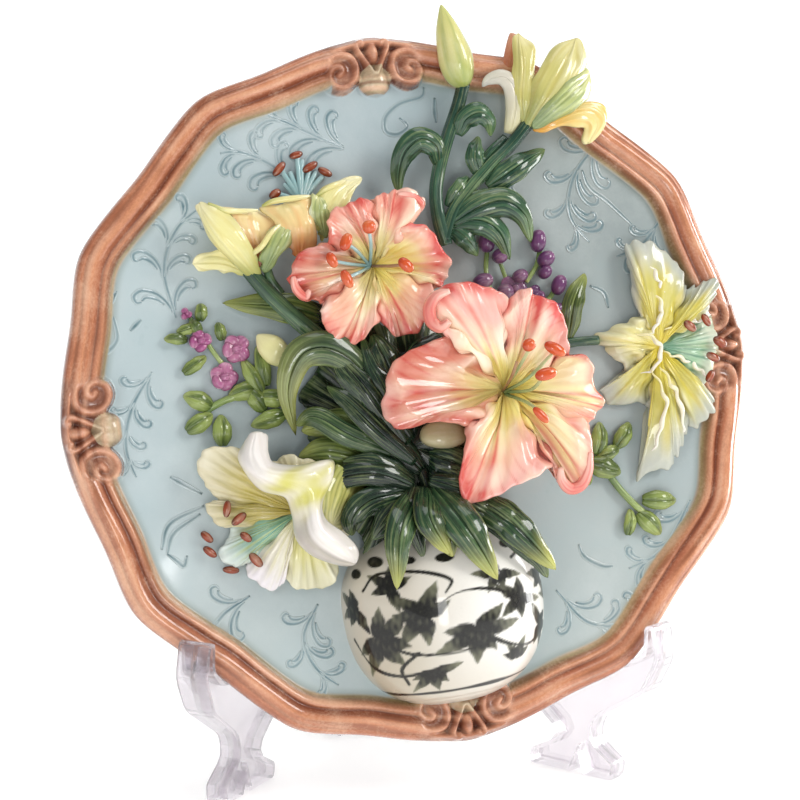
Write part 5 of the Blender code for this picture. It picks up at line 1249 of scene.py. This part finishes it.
def brushLeaf(x, y, cx, cy, angle, length, width, bend):
    # one stroke: a bent lens from its root, fullest before the middle, drawn out to a point
    a = math.radians(angle)
    u = ((x - cx) * math.cos(a) + (y - cy) * math.sin(a)) / length
    v = (-(x - cx) * math.sin(a) + (y - cy) * math.cos(a)) / width - bend * np.clip(u, 0, 1) ** 2
    body = np.sin(np.pi * np.clip(u, 0, 1) ** 0.65) + 0.10 * ripple(x * 1.4, y * 1.4, int(cx * 3 + cy) % 97)
    return step(-0.10, 0.14, body - np.abs(v)) * step(0.0, 0.05, u) * step(1.0, 0.97, u)


def inkPattern(x, y):
    # clusters of strokes fanned about a point, joined by brushed lines: a plain ink leaf ornament; gives the
    # ink, and the places where it is blackest
    ink, core = np.zeros(np.shape(x)), np.zeros(np.shape(x))
    for cx, cy, size, first, count, spread in vase["clusters"]:
        away = np.hypot(x - cx, y - cy)
        core = np.maximum(core, step(1.05, 0.30, away / size))
        for k in range(count):
            long = size * (0.8 + 0.35 * ((k * 5) % 3) / 2)
            ink = np.maximum(
                ink, brushLeaf(x, y, cx, cy, first + spread * k, long, size * 0.23, 0.5 * (-1) ** k))
        ink = np.maximum(ink, step(1.2, 0.8, away / (0.17 * size)))
    marks = []
    for points, width in vase["lines"]:
        thick = width * (0.75 + 0.35 * ripple(x / 3, y / 3, 41))
        marks.append(step(thick + 0.3, thick - 0.2, distanceTo(x, y, points, 26)))
    for cx, cy, a, b in vase["spots"]:
        marks.append(step(1.12, 0.9, np.hypot((x - cx) / a, (y - cy) / b)))
    return np.max([ink, *marks], axis=0), np.max([core, *marks], axis=0)


def makeVase():
    # rows of rings from foot to mouth: a stretched round that is fuller than a ball, flat at the back
    clay = Clay("vase")
    rows = np.linspace(0.0, 1.0, vase["rows"])[:, None]
    wing = math.radians(100)
    front = np.linspace(-wing, wing, vase["columns"])
    turn = np.concatenate([front, np.linspace(wing, math.radians(260), 26)[1:-1]])[None, :]
    tall = -0.968 * np.cos(np.pi * rows)
    wide = (1 - np.abs(tall) ** vase["fullness"]) ** (1 / vase["fullness"])
    wide = wide - 0.010 * hump(tall, -0.90, 0.012) + 0.006 * ripple(turn / 2, tall * 2, 3)
    x = wide * np.sin(turn) * vase["halfWidth"]
    z = np.maximum(wide * np.cos(turn) * vase["depth"], -1.5)
    y = tall * np.where(tall < 0, vase["below"], vase["above"]) + 0 * turn
    grid = np.stack([vase["middle"][0] + x, vase["middle"][1] + y, z], -1)
    across = turn / (math.pi / 2) * 50 * np.where(np.abs(turn) < 1.8, 1, 9) * np.maximum(wide, 0.35)
    ink, core = inkPattern(across, y)
    brushed = ripple(across / 0.5, y / 0.9, 21)
    shaded = step(24, -44, x) * 0.8 + step(-6, -44, y) * 0.35 + 0.1 * ripple(x / 12, y / 12, 4)
    body = blend(vase["white"], vase["shade"], shaded)
    black = np.clip(0.12 + 0.95 * core + 0.25 * brushed, 0, 1)
    colour = blend(body, blend(vase["olive"], vase["black"], black), ink * (0.88 + 0.11 * black))
    clay.skin(grid, colour, stacked((turn + 2) / 8, rows))
    return clay


makeVase().finish(vaseGlaze)
print("vase")


# Lines cut in the field: single scrolls as (right, up) on the plate; plumes as a middle line of (column,
# row), strokes to a side and reach; a line's section is a groove between two low banks
scrolls = [[(-120, 58), (-126, 50)], [(-123, 48), (-123, 38), (-130, 33), (-133, 38)],
           [(-117, 41), (-112, 45)], [(-98, -30), (-106, -24), (-110, -21)],
           [(-118, -50), (-113, -40), (-98, -35)], [(-116, -52), (-112, -44), (-100, -38)],
           [(-116, -52), (-112, -56), (-110, -58), (-108, -54)],
           [(61, -78), (63, -84), (70, -89), (75, -90)], [(90, 84), (92, 76), (100, 68), (110, 56)],
           [(85, 33), (91, 29), (92, 22)],
           [(24, 128), (22, 124), (12, 122), (5, 117), (4, 111), (9, 109), (14, 112), (11, 116)],
           [(28, 123), (27, 117), (27, 112)], [(43, 118), (47, 117), (50, 115)],
           [(60, 84), (56, 80), (59, 74), (55, 68)], [(-124, 76), (-114, 92), (-100, 106)]]
plumes = [([(344, 148), (316, 136), (286, 122), (258, 112)], 4, 17),
          ([(292, 180), (266, 162), (240, 152), (214, 154)], 3, 15),
          ([(176, 318), (164, 270), (176, 230), (204, 204)], 4, 16),
          ([(152, 372), (132, 408), (126, 448), (140, 486)], 4, 12),
          ([(250, 596), (222, 616), (206, 646), (214, 680)], 3, 15),
          ([(318, 604), (304, 636), (316, 668), (346, 690)], 3, 14),
          ([(600, 140), (574, 176), (570, 216), (596, 250)], 4, 18),
          ([(660, 220), (640, 246), (612, 258)], 2, 12), ([(690, 500), (664, 548), (622, 572)], 3, 16),
          ([(556, 590), (588, 622), (626, 622), (650, 590)], 3, 15)]
groove = {"scrollHalf": 1.6, "plumeHalf": 1.5, "scrollColour": rgb(74, 106, 112),
          "plumeColour": rgb(84, 116, 124),
          "across": (-1.0, -0.72, -0.42, -0.15, 0.15, 0.42, 0.72, 1.0, 0.8, -0.8),
          "height": (-0.25, 0.20, 0.26, 0.05, 0.05, 0.26, 0.20, -0.25, -0.6, -0.6),
          "outer": [(-0.30, 0.05), (0.10, 0.16), (0.46, 0.42), (0.66, 0.80), (0.56, 1.10), (0.34, 1.08),
                    (0.30, 0.92)], "inner": [(0.02, 0.24), (0.26, 0.44), (0.40, 0.72), (0.34, 0.90)]}


def plumeLines(spine, strokes, reach):
    # the middle line, and on both sides nested strokes that leave it at a slant, swing out and hook back,
    # with a shorter stroke inside each
    line = curveThrough(seen([(x, y, 0) for x, y in spine]), 40)[:, :2]
    ahead = unit(np.gradient(line, axis=0))
    paths = [line[::4]]
    for k in range(strokes):
        at = int(36 * (k + 0.5) / strokes)
        for way in (-1, 1):
            out = np.array([-ahead[at][1], ahead[at][0]]) * way
            size = reach * (0.80 - 0.35 * k / strokes) * (1.0 if way > 0 else 0.85)
            for stroke in ("outer", "inner"):
                paths.append([line[at] + ahead[at] * u * size + out * v * size for u, v in groove[stroke]])
    return paths


def makeScrolls():
    # along each line a strip of the groove's section, narrowing to both ends, dark in the middle: the line's
    # own teal grey deepened as painted shade in the groove
    clay = Clay("scrollLines")
    feathers = [path for plume in plumes for path in plumeLines(*plume)]
    across, height = np.array([groove["across"]]), np.array([groove["height"]])
    for i, path in enumerate(scrolls + feathers):
        kind = "scroll" if i < len(scrolls) else "plume"
        points = np.array([(p, q, 0.0) for p, q in path], float)
        length = np.linalg.norm(np.diff(points, axis=0), axis=1).sum()
        rows = max(10, int(length / 1.1))
        line = curveThrough(points, rows)
        along = unit(np.gradient(line, axis=0))
        aside = np.stack([-along[:, 1], along[:, 0], 0 * along[:, 0]], -1)
        t = np.linspace(0, 1, rows)[:, None]
        half = groove[kind + "Half"] * taper(t, power=0.5)
        grid = line[:, None] + aside[:, None] * (across * half)[..., None]
        grid[..., 2] = height * np.minimum(half / 1.1, 1)
        # dark in the middle of the groove: the line's own colour together with painted shade
        dark = hump(across, 0, 0.42) * (0.75 + 0.25 * ripple(t * 9, across, i)) * (height > -0.5)
        colour = blend(fieldPaint(grid[..., 0], grid[..., 1]), groove[kind + "Colour"], dark)
        clay.skin(grid, colour, stacked(across / 2 + 0.5, t))
    return clay


makeScrolls().finish(fieldGlaze)
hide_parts("plate")


# Clear stand
plastic = {"light": rgb(228, 222, 227), "dark": rgb(208, 201, 210), "marks": 70.0, "bump": 0.12,
           "rough": 0.02, "clearness": 0.85, "alpha": 0.72, "ior": 1.46}


def clearPlastic():
    r = Recipe("clearPlastic")
    marks = r.noise(plastic["marks"], 4.0)
    return r.shade(
        {"Base Color": r.mix(plastic["light"], plastic["dark"], marks),
         "Roughness": marks * 0.10 + plastic["rough"], "Normal": r.bump(marks, plastic["bump"], 0.0008),
         "Transmission Weight": plastic["clearness"], "IOR": plastic["ior"], "Alpha": plastic["alpha"]})


clear = clearPlastic()
for name in ("easel_left", "easel_right"):
    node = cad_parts[name]
    node.data.materials.clear()
    node.data.materials.append(clear)
print("stand")


# Floor, light and camera, in metres. Lamps: place, size, power, colour, whether they show in the glaze
room = {"floorDark": rgb(244, 243, 241), "floorLight": rgb(250, 250, 249), "glow": 0.42,
        "front": -2.2, "back": 1.2, "bend": 0.5, "side": 3.5, "height": 3.0,
        "sky": (0.93, 0.95, 1.0, 1), "skyPower": 0.27}
lamps = {
    "windowLight": ((1.05, -0.95, 1.0), (0.5, 0.7), 12, (1.0, 0.985, 0.96), True),
    "softLight": ((-1.3, -1.4, 0.7), (1.0, 1.2), 9.5, (0.97, 0.985, 1.0), False),
    "topLight": ((0.2, -0.3, 1.9), (1.2, 0.9), 7, (1.0, 1.0, 1.0), True),
    "lowWindow": ((-0.05, -1.0, 0.10), (0.14, 0.26), 1.1, (1.0, 1.0, 1.0), True),
    "farWindow": ((1.15, 0.10, 0.32), (0.4, 0.6), 9, (1.0, 1.0, 1.0), True)}


def addFloor():
    # a floor that bends up into a wall behind the plate
    r = Recipe("paleFloor")
    colour = r.mix(room["floorDark"], room["floorLight"], r.noise(12.0, 5.0))
    material = r.shade({"Base Color": colour, "Roughness": 0.6, "Emission Color": (1, 1, 1, 1),
                        "Emission Strength": room["glow"]})
    mesh = bpy.data.meshes.new("floor")
    back, bend = room["back"], room["bend"]
    turn = np.linspace(0, math.pi / 2, 13)
    arc = [(back + bend * math.sin(a), bend - bend * math.cos(a)) for a in turn]
    section = [(room["front"], 0.0), *arc, (back + bend, room["height"])]
    points = [(x, y, z) for y, z in section for x in (-room["side"], room["side"])]
    faces = [(2 * i, 2 * i + 1, 2 * i + 3, 2 * i + 2) for i in range(len(section) - 1)]
    mesh.from_pydata(points, [], faces)
    mesh.shade_smooth()
    mesh.materials.append(material)
    link("floor", mesh)


def setPlace(thing, axes, place):
    matrix = np.eye(4)
    matrix[:3, :3], matrix[:3, 3] = axes, place
    thing.matrix_world = Matrix(matrix.tolist())


def addLight(name, place, size, power, colour, shows):
    # a rectangle of light that faces the plate
    data = bpy.data.lights.new(name, "AREA")
    data.shape, data.size, data.size_y = "RECTANGLE", size[0], size[1]
    data.energy, data.color = power, colour
    lamp = link(name, data)
    lamp.visible_glossy = shows
    back = unit(np.array(place, float) - plateCentre)
    right = unit(np.cross([0, 0, 1.0], back))
    setPlace(lamp, np.stack([right, np.cross(back, right), back], 1), place)


addFloor()
for name, lamp in lamps.items():
    addLight(name, *lamp)
world = bpy.data.worlds.new("paleRoom")
bpy.context.scene.world = world
world.use_nodes = True
sky = world.node_tree.nodes["Background"]
sky.inputs["Color"].default_value = room["sky"]
sky.inputs["Strength"].default_value = room["skyPower"]

lens = bpy.data.cameras.new("camera")
lens.lens, lens.sensor_width = view["lens"], view["sensor"]
lens.shift_x, lens.shift_y = view["shift"]
lens.clip_start = view["nearest"]
camera = link("camera", lens)
setPlace(camera, cameraAxes, cameraPlace)
bpy.context.scene.camera = camera
bpy.context.scene.view_settings.view_transform = "Standard"
print("room and camera")
